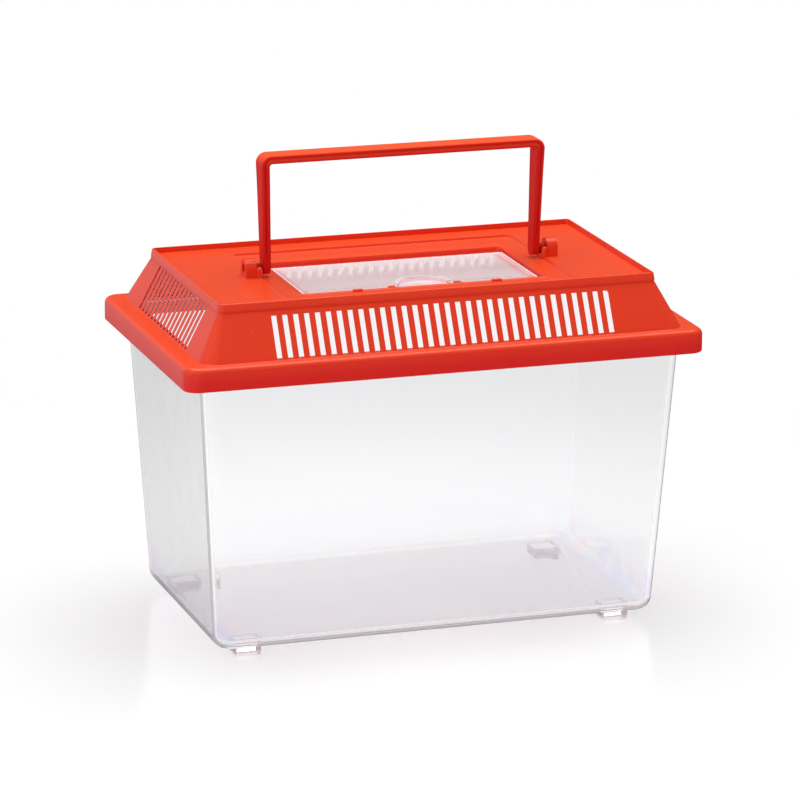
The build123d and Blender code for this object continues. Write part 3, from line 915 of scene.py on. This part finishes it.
def bar_tree():
    """Geometry nodes for a row of sloped bars with rounded edges between two rails."""
    tree = bpy.data.node_groups.new("vent_bars", "GeometryNodeTree")
    graph = Graph(tree)
    wanted = {"Int": ("Count",), "Float": ("Pitch", "Width", "Back", "Thickness", "Height", "Edge"),
              "Vector": ("Middle", "Turn"), "Material": ("Material",)}
    for kind, names in wanted.items():
        for name in names:
            tree.interface.new_socket(name, in_out="INPUT", socket_type="NodeSocket" + kind)
    tree.interface.new_socket("Geometry", in_out="OUTPUT", socket_type="NodeSocketGeometry")
    source = tree.nodes.new("NodeGroupInput")
    given = {name: Wire(graph, source.outputs[name]) for names in wanted.values() for name in names}
    outline = graph.add("GeometryNodeCurvePrimitiveQuadrilateral", {"mode": "TRAPEZOID"}, {
        "Bottom Width": given["Width"], "Top Width": given["Back"], "Height": given["Thickness"],
        "Offset": 0.0})
    rounded = graph.add("GeometryNodeFilletCurve", {"mode": "POLY"},
                        {"Curve": outline, "Count": SMALL_STEPS, "Radius": given["Edge"]})
    half = given["Height"] * 0.5
    foot = graph.add("ShaderNodeCombineXYZ", inputs={"Z": half * -1.0})
    head = graph.add("ShaderNodeCombineXYZ", inputs={"Z": half})
    spine = graph.add("GeometryNodeCurvePrimitiveLine", inputs={"Start": foot, "End": head})
    bar = graph.add("GeometryNodeCurveToMesh", inputs={
        "Curve": spine, "Profile Curve": rounded, "Fill Caps": True})
    lone = graph.add("GeometryNodeTransform", inputs={"Geometry": bar, "Rotation": given["Turn"]})
    gap = graph.add("ShaderNodeCombineXYZ", inputs={"X": given["Pitch"]})
    reach = (given["Count"] - 1.0) * given["Pitch"] * -0.5
    first = graph.add("ShaderNodeCombineXYZ", inputs={"X": reach})
    row = graph.add("GeometryNodeMeshLine", {"mode": "OFFSET"},
                    {"Count": given["Count"], "Start Location": first, "Offset": gap})
    copies = graph.add("GeometryNodeInstanceOnPoints", inputs={"Points": row, "Instance": lone})
    moved = graph.add("GeometryNodeTransform", inputs={"Geometry": copies, "Translation": given["Middle"]})
    solid = graph.add("GeometryNodeRealizeInstances", inputs={"Geometry": moved})
    dressed = graph.add("GeometryNodeSetMaterial",
                        inputs={"Geometry": solid, "Material": given["Material"]})
    graph.add("NodeGroupOutput", inputs={"Geometry": dressed})
    return tree


def run_tree(name, tree, values):
    """A plain mesh object from a geometry node tree and the values of its named inputs."""
    made = bpy.data.objects.new(name, bpy.data.meshes.new(name))
    bpy.context.scene.collection.objects.link(made)
    step = made.modifiers.new(name, "NODES")
    step.node_group = tree
    for socket in tree.interface.items_tree:
        if socket.in_out == "INPUT":
            step[socket.identifier] = values[socket.name]
    return plain(made)


def vent_bars(sizes, finish):
    """The bars between the slots of all four sloped faces, one object for each face."""
    at = lid_levels(sizes)
    tree = bar_tree()
    rows = []
    for quarter in range(4):
        on_side = quarter % 2 == 0
        slope = math.atan2(sizes.hood_height, sizes.side_run if on_side else sizes.end_run)
        sink = (sizes.bar_recess + sizes.bar_thickness / 2) / math.sin(slope)
        count = sizes.side_slots if on_side else sizes.end_slots
        high = at["side_slot_high"] if on_side else at["end_slot_high"]
        middle_z = (at["slot_low"] + high) / 2
        half_x, half_y = hood_half(sizes, middle_z)
        reach = half_y if on_side else half_x
        row = run_tree("vent_bars", tree, {
            "Count": count - 1, "Pitch": sizes.slot_pitch, "Width": sizes.bar_front,
            "Back": sizes.bar_back, "Thickness": sizes.bar_thickness,
            "Height": (high - at["slot_low"]) / math.sin(slope) + 2 * sizes.bar_root,
            "Edge": sizes.bar_edge,
            "Middle": (0, sink - reach, middle_z), "Turn": (slope - math.pi / 2, 0, 0),
            "Material": finish})
        row.data.transform(Matrix.Rotation(quarter * math.pi / 2, 4, "Z"))
        rows.append(row)
    return rows


def gathered(name, pieces, finish):
    """One object from several."""
    body = bmesh.new()
    for piece in pieces:
        body.from_mesh(piece.data)
        discard(piece)
    for face in body.faces:
        face.material_index = 0
    return as_object(name, body, finish)


def block(low, high, material):
    """A box between two corners."""
    outline = [(low[0], low[1]), (high[0], low[1]), (high[0], high[1]), (low[0], high[1])]
    return as_object("block", prism(outline, low[2], high[2]), material)


class BOX_OT_lid(bpy.types.Operator):
    """Build the red lid: skirt, vented hood, deck, window, nibs and handle brackets"""
    bl_idname = "insect_box.lid"
    bl_label = "Lid"

    ROUGHNESS = 0.20
    SHINE = 0.3
    # Shares of orange painted as light up the skirt towards the ledge, and on the lip
    SKIRT_PAINTED_LIGHT = 0.26
    LIP_PAINTED_LIGHT = 0.50
    # Where a painted light begins and is complete: up from the skirt's lower edge and down from the ledge,
    # and down and up from the hood's top
    SKIRT_FADE = (1.5 * MM, 0.5 * MM)
    LIP_FADE = (1.0 * MM, 1.5 * MM)
    # Angles in radians up the round head of a post
    POST_ROUNDING = (0, 0.4, 0.8, 1.15, 1.45)

    def execute(self, context):
        sizes = context.scene.lid_sizes
        at = lid_levels(sizes)
        finish = self.finish(context.scene.finishes, at)
        rings, openings = lid_rings(sizes)
        shell = as_object("lid_shell", skin(rings, joined=True, openings=openings), finish)
        finish_edges(shell, sizes.edge)
        seat(shell, "lid", "red_plastic", "lid")
        for piece, edge in (
                (gathered("lid_vent_bars", vent_bars(sizes, finish), finish), 0),
                (self.seat_ledge(sizes, at, finish), sizes.edge),
                (self.nibs(sizes, at, finish), sizes.edge),
                (self.brackets(context.scene.handle_sizes, at, finish), sizes.bracket_edge)):
            finish_edges(piece, edge)
            seat(piece, "lid", "red_plastic")
        return {"FINISHED"}

    def finish(self, finishes, at):
        """Red plastic with a little painted light up the skirt and more on the lip."""
        painted_lights = ((LID_LOW.z + self.SKIRT_FADE[0], at["ledge"] - self.SKIRT_FADE[1], self.SKIRT_PAINTED_LIGHT),
                 (at["hood_top"] - self.LIP_FADE[0], at["hood_top"] + self.LIP_FADE[1], self.LIP_PAINTED_LIGHT))
        return red_plastic("red_polypropylene", finishes.red_painted_shade, finishes.red_painted_light,
                           self.ROUGHNESS, self.SHINE, painted_lights)

    def seat_ledge(self, sizes, at, finish):
        """The U-shaped ledge in the window that carries the hatch's front and side edges."""
        bury = 0.3 * MM
        outer_x = sizes.window_half_length + bury
        outer_y = sizes.window_front - bury
        inner_x = sizes.window_half_length - sizes.seat_width
        inner_y = sizes.window_front + sizes.seat_width
        outline = [(-outer_x, outer_y), (outer_x, outer_y), (outer_x, sizes.seat_end),
                   (inner_x, sizes.seat_end), (inner_x, inner_y), (-inner_x, inner_y),
                   (-inner_x, sizes.seat_end), (-outer_x, sizes.seat_end)]
        clear_of_well = 0.02 * MM
        return as_object("lid_window_seat", prism(outline, at["well"] + clear_of_well, at["seat"]), finish)

    def nibs(self, sizes, at, finish):
        """Two nibs on the window's front edge, and the two catches beside the finger grip."""
        bury = 0.4 * MM
        edge = sizes.window_front - sizes.window_bevel
        pieces = []
        for middle, half, back, low, high in (
                (sizes.nib_place, sizes.nib_length / 2, edge, at["panel"], sizes.nib_height),
                (sizes.catch_place, sizes.catch_length / 2, sizes.window_front, at["hatch"],
                 sizes.catch_height)):
            for x in (-middle, middle):
                pieces.append(block((x - half, edge - sizes.nib_depth, low - bury),
                                    (x + half, back, at["panel"] + high), finish))
        return gathered("lid_nibs", pieces, finish)

    def brackets(self, sizes, at, finish):
        """The two handle brackets: foot plate, ear with its bore, and two posts beside the pin."""
        pivot = HANDLE_LOW.z + sizes.width_foot / 2
        bury = 0.4 * MM
        inner = sizes.half_foot + sizes.bracket_gap
        outer = inner + sizes.bracket_length
        radius = sizes.bracket_radius
        post_y = sizes.pin_radius + sizes.prong_gap + sizes.prong_radius
        plate_top = at["deck"] + sizes.plate_height
        post_radius = sizes.prong_radius
        cap = at["deck"] + sizes.prong_height - post_radius
        post = [(at["deck"] - bury, post_radius)]
        post += [(cap + post_radius * math.sin(angle), post_radius * math.cos(angle))
                 for angle in self.POST_ROUNDING]
        pieces = []
        for side in (-1, 1):
            ends = sorted((side * (sizes.half_foot + sizes.plate_gap), side * outer))
            plate = block((ends[0], -radius, at["panel"] - bury), (ends[1], radius, plate_top), finish)
            added = [self.ear(sizes, pivot, at["deck"] - bury, side * inner, side * outer, finish)]
            for way in (-1, 1):
                middle = (side * (inner - sizes.prong_radius), way * post_y)
                added.append(as_object("post", turned(post, POST_STEPS, middle, "Z"), finish))
            pieces.append(combine(plate, added))
        return gathered("lid_handle_brackets", pieces, finish)

    def ear(self, sizes, pivot, foot, start, end, finish):
        """An upright with a round top and a bore through it for the handle's pin."""
        radius = sizes.bracket_radius
        outer = []
        for y, z in arc((0, 0), 1, 0, 360, PIN_STEPS)[:-1]:
            if z < 0:
                grow = max(abs(y), abs(z))
                outer.append((radius * y / grow, pivot + (pivot - foot) * z / grow))
            else:
                outer.append((radius * y, pivot + radius * z))
        inner = arc((0, pivot), sizes.pin_radius + sizes.bore_clearance, 0, 360, PIN_STEPS)[:-1]
        rings = [placed(ring, x, "X")
                 for ring, x in ((outer, start), (outer, end), (inner, end), (inner, start))]
        return as_object("ear", skin(rings, joined=True), finish)


class BOX_OT_hatch(bpy.types.Operator):
    """Build the clear feeding hatch with its barrel, pins, raised band and finger grip"""
    bl_idname = "insect_box.hatch"
    bl_label = "Feeding Hatch"

    BURY = 0.3 * MM
    # Shares of white painted as highlights on the front band and on the grip's rim
    BAND_PAINTED_HIGHLIGHT = 0.45
    RIM_PAINTED_HIGHLIGHT = 0.9
    # Each painted highlight's fade: inwards from the ends, back from the hinge axis, forward from the band's
    # back edge, and down from the grip's top
    END_FADE = (1.1 * MM, 0.7 * MM)
    BACK_FADE = 0.5 * MM
    BAND_FADE = 0.3 * MM
    RIM_FADE = (0.35 * MM, 0.15 * MM)
    # How far over the flap's top the grip's painted reflection begins
    GRIP_START = 0.2 * MM
    SAME_PLACE = 0.001 * MM

    def execute(self, context):
        sizes = context.scene.hatch_sizes
        barrel = (HATCH_HIGH.y - sizes.barrel_radius, HATCH_LOW.z + sizes.barrel_radius)
        top = barrel[1] + sizes.thickness
        flap = self.flap(sizes, barrel, top, self.finish(context.scene.finishes, sizes, barrel[0], top))
        reach = HATCH_HIGH.x
        pins = turned([(-reach, sizes.pin_radius), (reach, sizes.pin_radius)], PIN_STEPS, barrel)
        combine(flap, [self.band(sizes, barrel[0], top), self.grip(sizes, top), as_object("pins", pins)])
        finish_edges(flap, sizes.edge, segments=2)
        seat(flap, "feeding_hatch", "hatch_plastic", "feeding_hatch")
        return {"FINISHED"}

    def finish(self, finishes, sizes, barrel_y, top):
        """Hazy plastic whose sides, barrel, front band and grip's rim are painted white as highlights."""
        band_end = HATCH_LOW.y + sizes.front_band
        grip_top = top + sizes.grip_height

        def painted_highlights(graph, along, across, height):
            side = graph.ramp(abs(along), *[sizes.half_length - fade for fade in self.END_FADE])
            back = graph.ramp(across, barrel_y, barrel_y + self.BACK_FADE)
            band = 1 - graph.ramp(across, band_end - self.BAND_FADE, band_end)
            rim = graph.ramp(height, *[grip_top - fade for fade in self.RIM_FADE])
            return side | back | band * self.BAND_PAINTED_HIGHLIGHT | rim * self.RIM_PAINTED_HIGHLIGHT

        return hazy_plastic("clear_hatch", finishes.hatch, finishes.haze, painted_highlights, top + self.GRIP_START)

    def flap(self, sizes, barrel, top, finish):
        """The flap with its hinge barrel along the back edge and two rounded front corners."""
        front = HATCH_LOW.y
        profile = [(front, barrel[1]), *arc(barrel, sizes.barrel_radius, 180, 450, BARREL_STEPS),
                   (front, top)]
        body = prism(profile, -sizes.half_length, sizes.half_length, "X")
        corners = [edge for edge in body.edges
                   if all(abs(corner.co.y - front) < self.SAME_PLACE for corner in edge.verts)
                   and abs(edge.verts[0].co.z - edge.verts[1].co.z) > sizes.thickness / 2]
        bmesh.ops.bevel(body, geom=corners, offset=sizes.corner, segments=HATCH_CORNER_STEPS,
                        profile=0.5, affect="EDGES")
        return as_object("hatch_flap", body, finish)

    def band(self, sizes, barrel_y, top):
        """The raised band along the front and the sides, a little inside the flap's faces."""
        inset = 0.04 * MM
        side = sizes.half_length - inset
        near = HATCH_LOW.y + inset
        far = barrel_y - sizes.band_setback
        inner_x = side - sizes.edge_band
        inner_y = HATCH_LOW.y + sizes.front_band
        middle = (side - sizes.corner, near + sizes.corner)
        outline = [(-side, far), *arc((-middle[0], middle[1]), sizes.corner, 180, 270, HATCH_CORNER_STEPS),
                   *arc(middle, sizes.corner, 270, 360, HATCH_CORNER_STEPS),
                   (side, far), (inner_x, far), (inner_x, inner_y), (-inner_x, inner_y), (-inner_x, far)]
        return as_object("band", prism(outline, top - self.BURY, top + sizes.band_height))

    def grip(self, sizes, top):
        """The half-round wall in front that a finger pushes up."""
        behind_front = 0.02 * MM
        middle = (0.0, HATCH_LOW.y + behind_front)
        outline = arc(middle, sizes.grip_radius, 0, 180, GRIP_STEPS)
        outline += arc(middle, sizes.grip_radius - sizes.grip_wall, 180, 0, GRIP_STEPS)
        return as_object("grip", prism(outline, top - self.BURY, top + sizes.grip_height))


class BOX_OT_handle(bpy.types.Operator):
    """Build the carry handle: a grooved strap bent to a U with a pin on each foot"""
    bl_idname = "insect_box.handle"
    bl_label = "Carry Handle"

    ROUGHNESS = 0.38
    SHINE = 0.05
    # Stations up the round foot, as angles in degrees, and up the leg, as shares of its length
    FOOT_ANGLES = (0, 20, 40, 60, 75)
    LEG_SHARES = (0.25, 0.5, 0.75)
    # The groove comes to its full depth over a stretch of so many times that depth
    GROOVE_START = 4
    LEAST_HALF_WIDTH = 0.06 * MM
    # The largest rounding, as a share of half the strap's width, and the widest sloped side of the
    # groove, as a share of the groove's width
    LARGEST_EDGE = 0.9
    LARGEST_FLANK = 1 / 3

    def execute(self, context):
        sizes = context.scene.handle_sizes
        finishes = context.scene.finishes
        # Painted light and shade: level faces take the handle's bright red, upright faces its deep red
        finish = red_plastic("handle_polypropylene", finishes.handle_painted_shade, finishes.handle_painted_light,
                             self.ROUGHNESS, self.SHINE)
        pivot = HANDLE_LOW.z + sizes.width_foot / 2
        sections = [self.section(sizes, pivot, *station) for station in self.stations(sizes, pivot)]
        strap = as_object("handle_strap", skin(sections), finish)
        reach = HANDLE_HIGH.x
        root = sizes.half_foot - sizes.thickness_foot / 2
        pins = []
        for side in (-1, 1):
            profile = [(side * root, sizes.pin_radius),
                       (side * (reach - sizes.pin_chamfer), sizes.pin_radius),
                       (side * reach, sizes.pin_radius - sizes.pin_chamfer)]
            pins.append(as_object("pin", turned(profile, PIN_STEPS, (0.0, pivot))))
        combine(strap, pins)
        finish_edges(strap, 0)
        seat(strap, "carry_handle", "handle_plastic", "carry_handle")
        return {"FINISHED"}

    def stations(self, sizes, pivot):
        """Pairs of (outer point, inner point) in the front view, from the right foot to the left."""
        low = pivot - sizes.width_foot
        top = HANDLE_HIGH.z
        under = top - sizes.thickness_top
        inner_foot = sizes.half_foot - sizes.thickness_foot
        inner_top = sizes.half_top - sizes.thickness_top

        def leg(z):
            outer = sizes.half_foot + (sizes.half_top - sizes.half_foot) * (z - low) / (top - low)
            inner = inner_foot + (inner_top - inner_foot) * (z - low) / (under - low)
            return (outer, z), (inner, z)

        half = sizes.width_foot / 2
        heights = [pivot - half * math.cos(math.radians(angle)) for angle in self.FOOT_ANGLES]
        start = pivot + sizes.groove_lead
        shoulder = top - sizes.outer_corner
        heights.append(pivot)
        heights += [start + step * sizes.groove for step in range(self.GROOVE_START + 1)]
        heights += [start + share * (shoulder - start) for share in self.LEG_SHARES]
        right = [leg(z) for z in heights]
        outer_middle = (sizes.half_top - sizes.outer_corner, shoulder)
        inner_middle = (inner_top - sizes.inner_corner, under - sizes.inner_corner)
        right += list(zip(arc(outer_middle, sizes.outer_corner, 0, 90, BEND_STEPS),
                          arc(inner_middle, sizes.inner_corner, 0, 90, BEND_STEPS)))
        left = [((-outer[0], outer[1]), (-inner[0], inner[1])) for outer, inner in reversed(right)]
        return right + left

    def half_width(self, sizes, pivot, z):
        """Half the strap's width at a height: round below the pivot, and widening above it."""
        foot = sizes.width_foot / 2
        if z < pivot:
            return math.sqrt(max(foot ** 2 - (pivot - z) ** 2, self.LEAST_HALF_WIDTH ** 2))
        return foot + (sizes.width_top / 2 - foot) * (z - pivot) / (HANDLE_HIGH.z - pivot)

    def section(self, sizes, pivot, outer, inner):
        """The strap's cross-section at a station: round edges, and a shallow groove in front and behind."""
        gap = math.hypot(outer[0] - inner[0], outer[1] - inner[1])
        wide = [self.half_width(sizes, pivot, z) for _, z in (outer, inner)]
        outer_edge, inner_edge = [min(edge, self.LARGEST_EDGE * half) for edge, half in
                                  zip((sizes.outer_edge, sizes.inner_edge), wide)]
        rise = (outer[1] - pivot - sizes.groove_lead) / (self.GROOVE_START * sizes.groove)
        depth = sizes.groove * min(max(rise, 0.0), 1.0)
        start, end = sizes.outer_flange, gap - sizes.inner_flange
        soft = min(depth / 2, self.LARGEST_FLANK * (end - start))
        profile = [(outer_edge * (1 - math.cos(angle)), outer_edge * (1 - math.sin(angle)))
                   for angle in turn(0, 90, STRAP_EDGE_STEPS)]
        profile += [(start, 0.0), (start + soft, depth), (end - soft, depth), (end, 0.0)]
        profile += [(gap - inner_edge * (1 - math.cos(angle)), inner_edge * (1 - math.sin(angle)))
                    for angle in turn(90, 0, STRAP_EDGE_STEPS)]
        points = []
        for way, side in ((-1, profile), (1, reversed(profile))):
            for through, sunk in side:
                share = through / gap
                half = wide[0] + (wide[1] - wide[0]) * share - sunk
                points.append((outer[0] + (inner[0] - outer[0]) * share, way * half,
                               outer[1] + (inner[1] - outer[1]) * share))
        return points


class BOX_OT_stage(bpy.types.Operator):
    """Set up the pale floor, the soft studio light and the camera"""
    bl_idname = "insect_box.stage"
    bl_label = "Stage"

    CAMERA_PLACE = (-0.51214, -1.52398, 0.52000)
    CAMERA_TARGET = (0.000145, 0.0, 0.07563)
    CAMERA_ROLL = 0.42
    CAMERA_LENS = 212.42
    SENSOR = 36.0
    FLOOR_SIZE = 6.0
    FLOOR_ROUGHNESS = 0.16
    FLOOR_VARIATION = 0.06
    FLOOR_SCALE = 30.0
    FLOOR_SHINE = 0.35
    FLOOR_GLOW = 0.33
    # Where a change begins and ends: in metres from the middle, in metres to the left of it, and as the
    # leftward part of a direction
    SHADOW_REACH = (0.13, 0.34)
    MIRROR_SPREAD = (0.0, 0.3)
    SKY_SPREAD = (-0.1, 0.3)
    MIRROR_DARK = 0.10
    MIRROR_FRONT = 0.03
    MIRROR_BRIGHT = 0.65
    WORLD_LIGHT = 0.45
    # Each lamp's name, place, size in both directions and power
    LAMPS = (("overhead", (0.1, 0.15, 1.0), 0.9, 7.8),
             ("left", (-1.0, -0.25, 0.45), 0.7, 1.9),
             ("front", (-0.2, -1.2, 0.7), 0.6, 1.0))
    LAMP_TARGET = (0.0, 0.0, 0.08)
    NEAREST, FURTHEST = 0.05, 20.0

    def execute(self, context):
        scene = context.scene
        self.floor(scene)
        self.world(scene)
        self.lamps(scene)
        self.camera(scene)
        scene.view_settings.view_transform = "Standard"
        if scene.camera is None or scene.world is None:
            raise RuntimeError("the stage has no camera or no world")
        return {"FINISHED"}

    def floor(self, scene):
        """A pale floor that keeps the shadow near the box and is plain white further out.

        Mirrored in the box it is bright at the left and dark at the right.
        """
        graph = Graph.material("studio_floor")
        place = graph.place()
        along, _, _ = graph.split(place)
        reach = graph.add("ShaderNodeVectorMath", {"operation": "LENGTH"}, {0: place}, output="Value")
        glossy = graph.add("ShaderNodeLightPath", output="Is Glossy Ray")
        mirrored = glossy * (1 - graph.ramp(graph.beside(glossy, "Transmission Depth"), 0.0, 1.0))
        grain = graph.noise(self.FLOOR_SCALE, 2.0, place) * self.FLOOR_VARIATION
        matte = graph.principled(
            Base_Color=tuple(scene.finishes.floor), Roughness=self.FLOOR_ROUGHNESS + grain,
            Specular_IOR_Level=self.FLOOR_SHINE, Emission_Color=(1, 1, 1, 1),
            Emission_Strength=self.FLOOR_GLOW)
        white, dark, bright = [graph.glow((level, level, level, 1))
                               for level in (1.0, self.MIRROR_FRONT, self.MIRROR_BRIGHT)]
        shown = graph.blend(graph.ramp(reach, *self.SHADOW_REACH), matte, white)
        mirror = graph.blend(graph.ramp(0 - along, *self.MIRROR_SPREAD), dark, bright)
        shown = graph.blend(mirrored, shown, mirror)
        body = bmesh.new()
        bmesh.ops.create_grid(body, x_segments=8, y_segments=8, size=self.FLOOR_SIZE / 2)
        floor = as_object("studio_floor", body, graph.show(shown))

    def world(self, scene):
        """White where it is looked at or seen through, and softer as a light.

        Mirrored in the box it is bright at the left and dark at the right.
        """
        world = bpy.data.worlds.new("studio")
        world.use_nodes = True
        scene.world = world
        graph = Graph(world.node_tree)
        straight = graph.add("ShaderNodeLightPath", output="Is Camera Ray")
        glossy = graph.beside(straight, "Is Glossy Ray")
        inside = graph.ramp(graph.beside(straight, "Transmission Depth"), 0.0, 1.0)
        seen = straight | graph.beside(straight, "Is Transmission Ray") | inside * glossy
        mirrored = glossy * (1 - inside)
        side, _, _ = graph.split(graph.add("ShaderNodeTexCoord", output="Generated"))
        leftward = graph.ramp(0 - side, *self.SKY_SPREAD)
        glow = self.MIRROR_DARK + (self.MIRROR_BRIGHT - self.MIRROR_DARK) * leftward
        strength = self.WORLD_LIGHT + seen * (1 - self.WORLD_LIGHT) + mirrored * (glow - self.WORLD_LIGHT)
        sky = graph.add("ShaderNodeBackground", inputs={"Color": (1, 1, 1, 1), "Strength": strength})
        graph.add("ShaderNodeOutputWorld", inputs={"Surface": sky})

    def lamps(self, scene):
        """A broad softbox overhead, one at the left and a low fill from the front."""
        for name, place, size, power in self.LAMPS:
            data = bpy.data.lights.new(name, "AREA")
            data.shape = "RECTANGLE"
            data.size = data.size_y = size
            data.energy = power
            lamp = bpy.data.objects.new(name, data)
            lamp.location = place
            aim = Vector(self.LAMP_TARGET) - Vector(place)
            lamp.rotation_euler = aim.to_track_quat("-Z", "Y").to_euler()
            scene.collection.objects.link(lamp)

    def camera(self, scene):
        """The photograph's viewing angle, with its slight roll."""
        data = bpy.data.cameras.new("camera")
        data.lens = self.CAMERA_LENS
        data.sensor_width = self.SENSOR
        camera = bpy.data.objects.new("camera", data)
        place = Vector(self.CAMERA_PLACE)
        ahead = (Vector(self.CAMERA_TARGET) - place).normalized()
        roll = Matrix.Rotation(math.radians(self.CAMERA_ROLL), 4, "Z").to_quaternion()
        camera.rotation_mode = "QUATERNION"
        camera.rotation_quaternion = ahead.to_track_quat("-Z", "Y") @ roll
        camera.location = place
        data.clip_start, data.clip_end = self.NEAREST, self.FURTHEST
        scene.collection.objects.link(camera)
        scene.camera = camera


class BOX_PT_panel(bpy.types.Panel):
    """Lists the box's sizes and the buttons that build its pieces"""
    bl_idname = "BOX_PT_panel"
    bl_label = "Insect Box"
    bl_space_type = "VIEW_3D"
    bl_region_type = "UI"
    bl_category = "Insect Box"

    def draw(self, context):
        layout = self.layout
        for operator in OPERATORS:
            layout.operator(operator.bl_idname)
        for group in SETTINGS:
            column = layout.column(align=True)
            values = getattr(context.scene, group)
            for name in values.bl_rna.properties.keys():
                if name not in ("rna_type", "name"):
                    column.prop(values, name)


OPERATORS = (BOX_OT_tank, BOX_OT_lid, BOX_OT_hatch, BOX_OT_handle, BOX_OT_stage)
SETTINGS = {"tank_sizes": TankSizes, "lid_sizes": LidSizes, "hatch_sizes": HatchSizes,
            "handle_sizes": HandleSizes, "finishes": Finishes}


def register():
    for kind in (*SETTINGS.values(), *OPERATORS, BOX_PT_panel):
        bpy.utils.register_class(kind)
    for name, kind in SETTINGS.items():
        setattr(bpy.types.Scene, name, PointerProperty(type=kind))


def unregister():
    for name in SETTINGS:
        delattr(bpy.types.Scene, name)
    for kind in (BOX_PT_panel, *reversed(OPERATORS), *reversed(tuple(SETTINGS.values()))):
        bpy.utils.unregister_class(kind)


def main():
    """Builds every piece and the stage."""
    register()
    bpy.ops.insect_box.tank()
    bpy.ops.insect_box.lid()
    bpy.ops.insect_box.hatch()
    bpy.ops.insect_box.handle()
    bpy.ops.insect_box.stage()


if __name__ == "__main__":
    main()
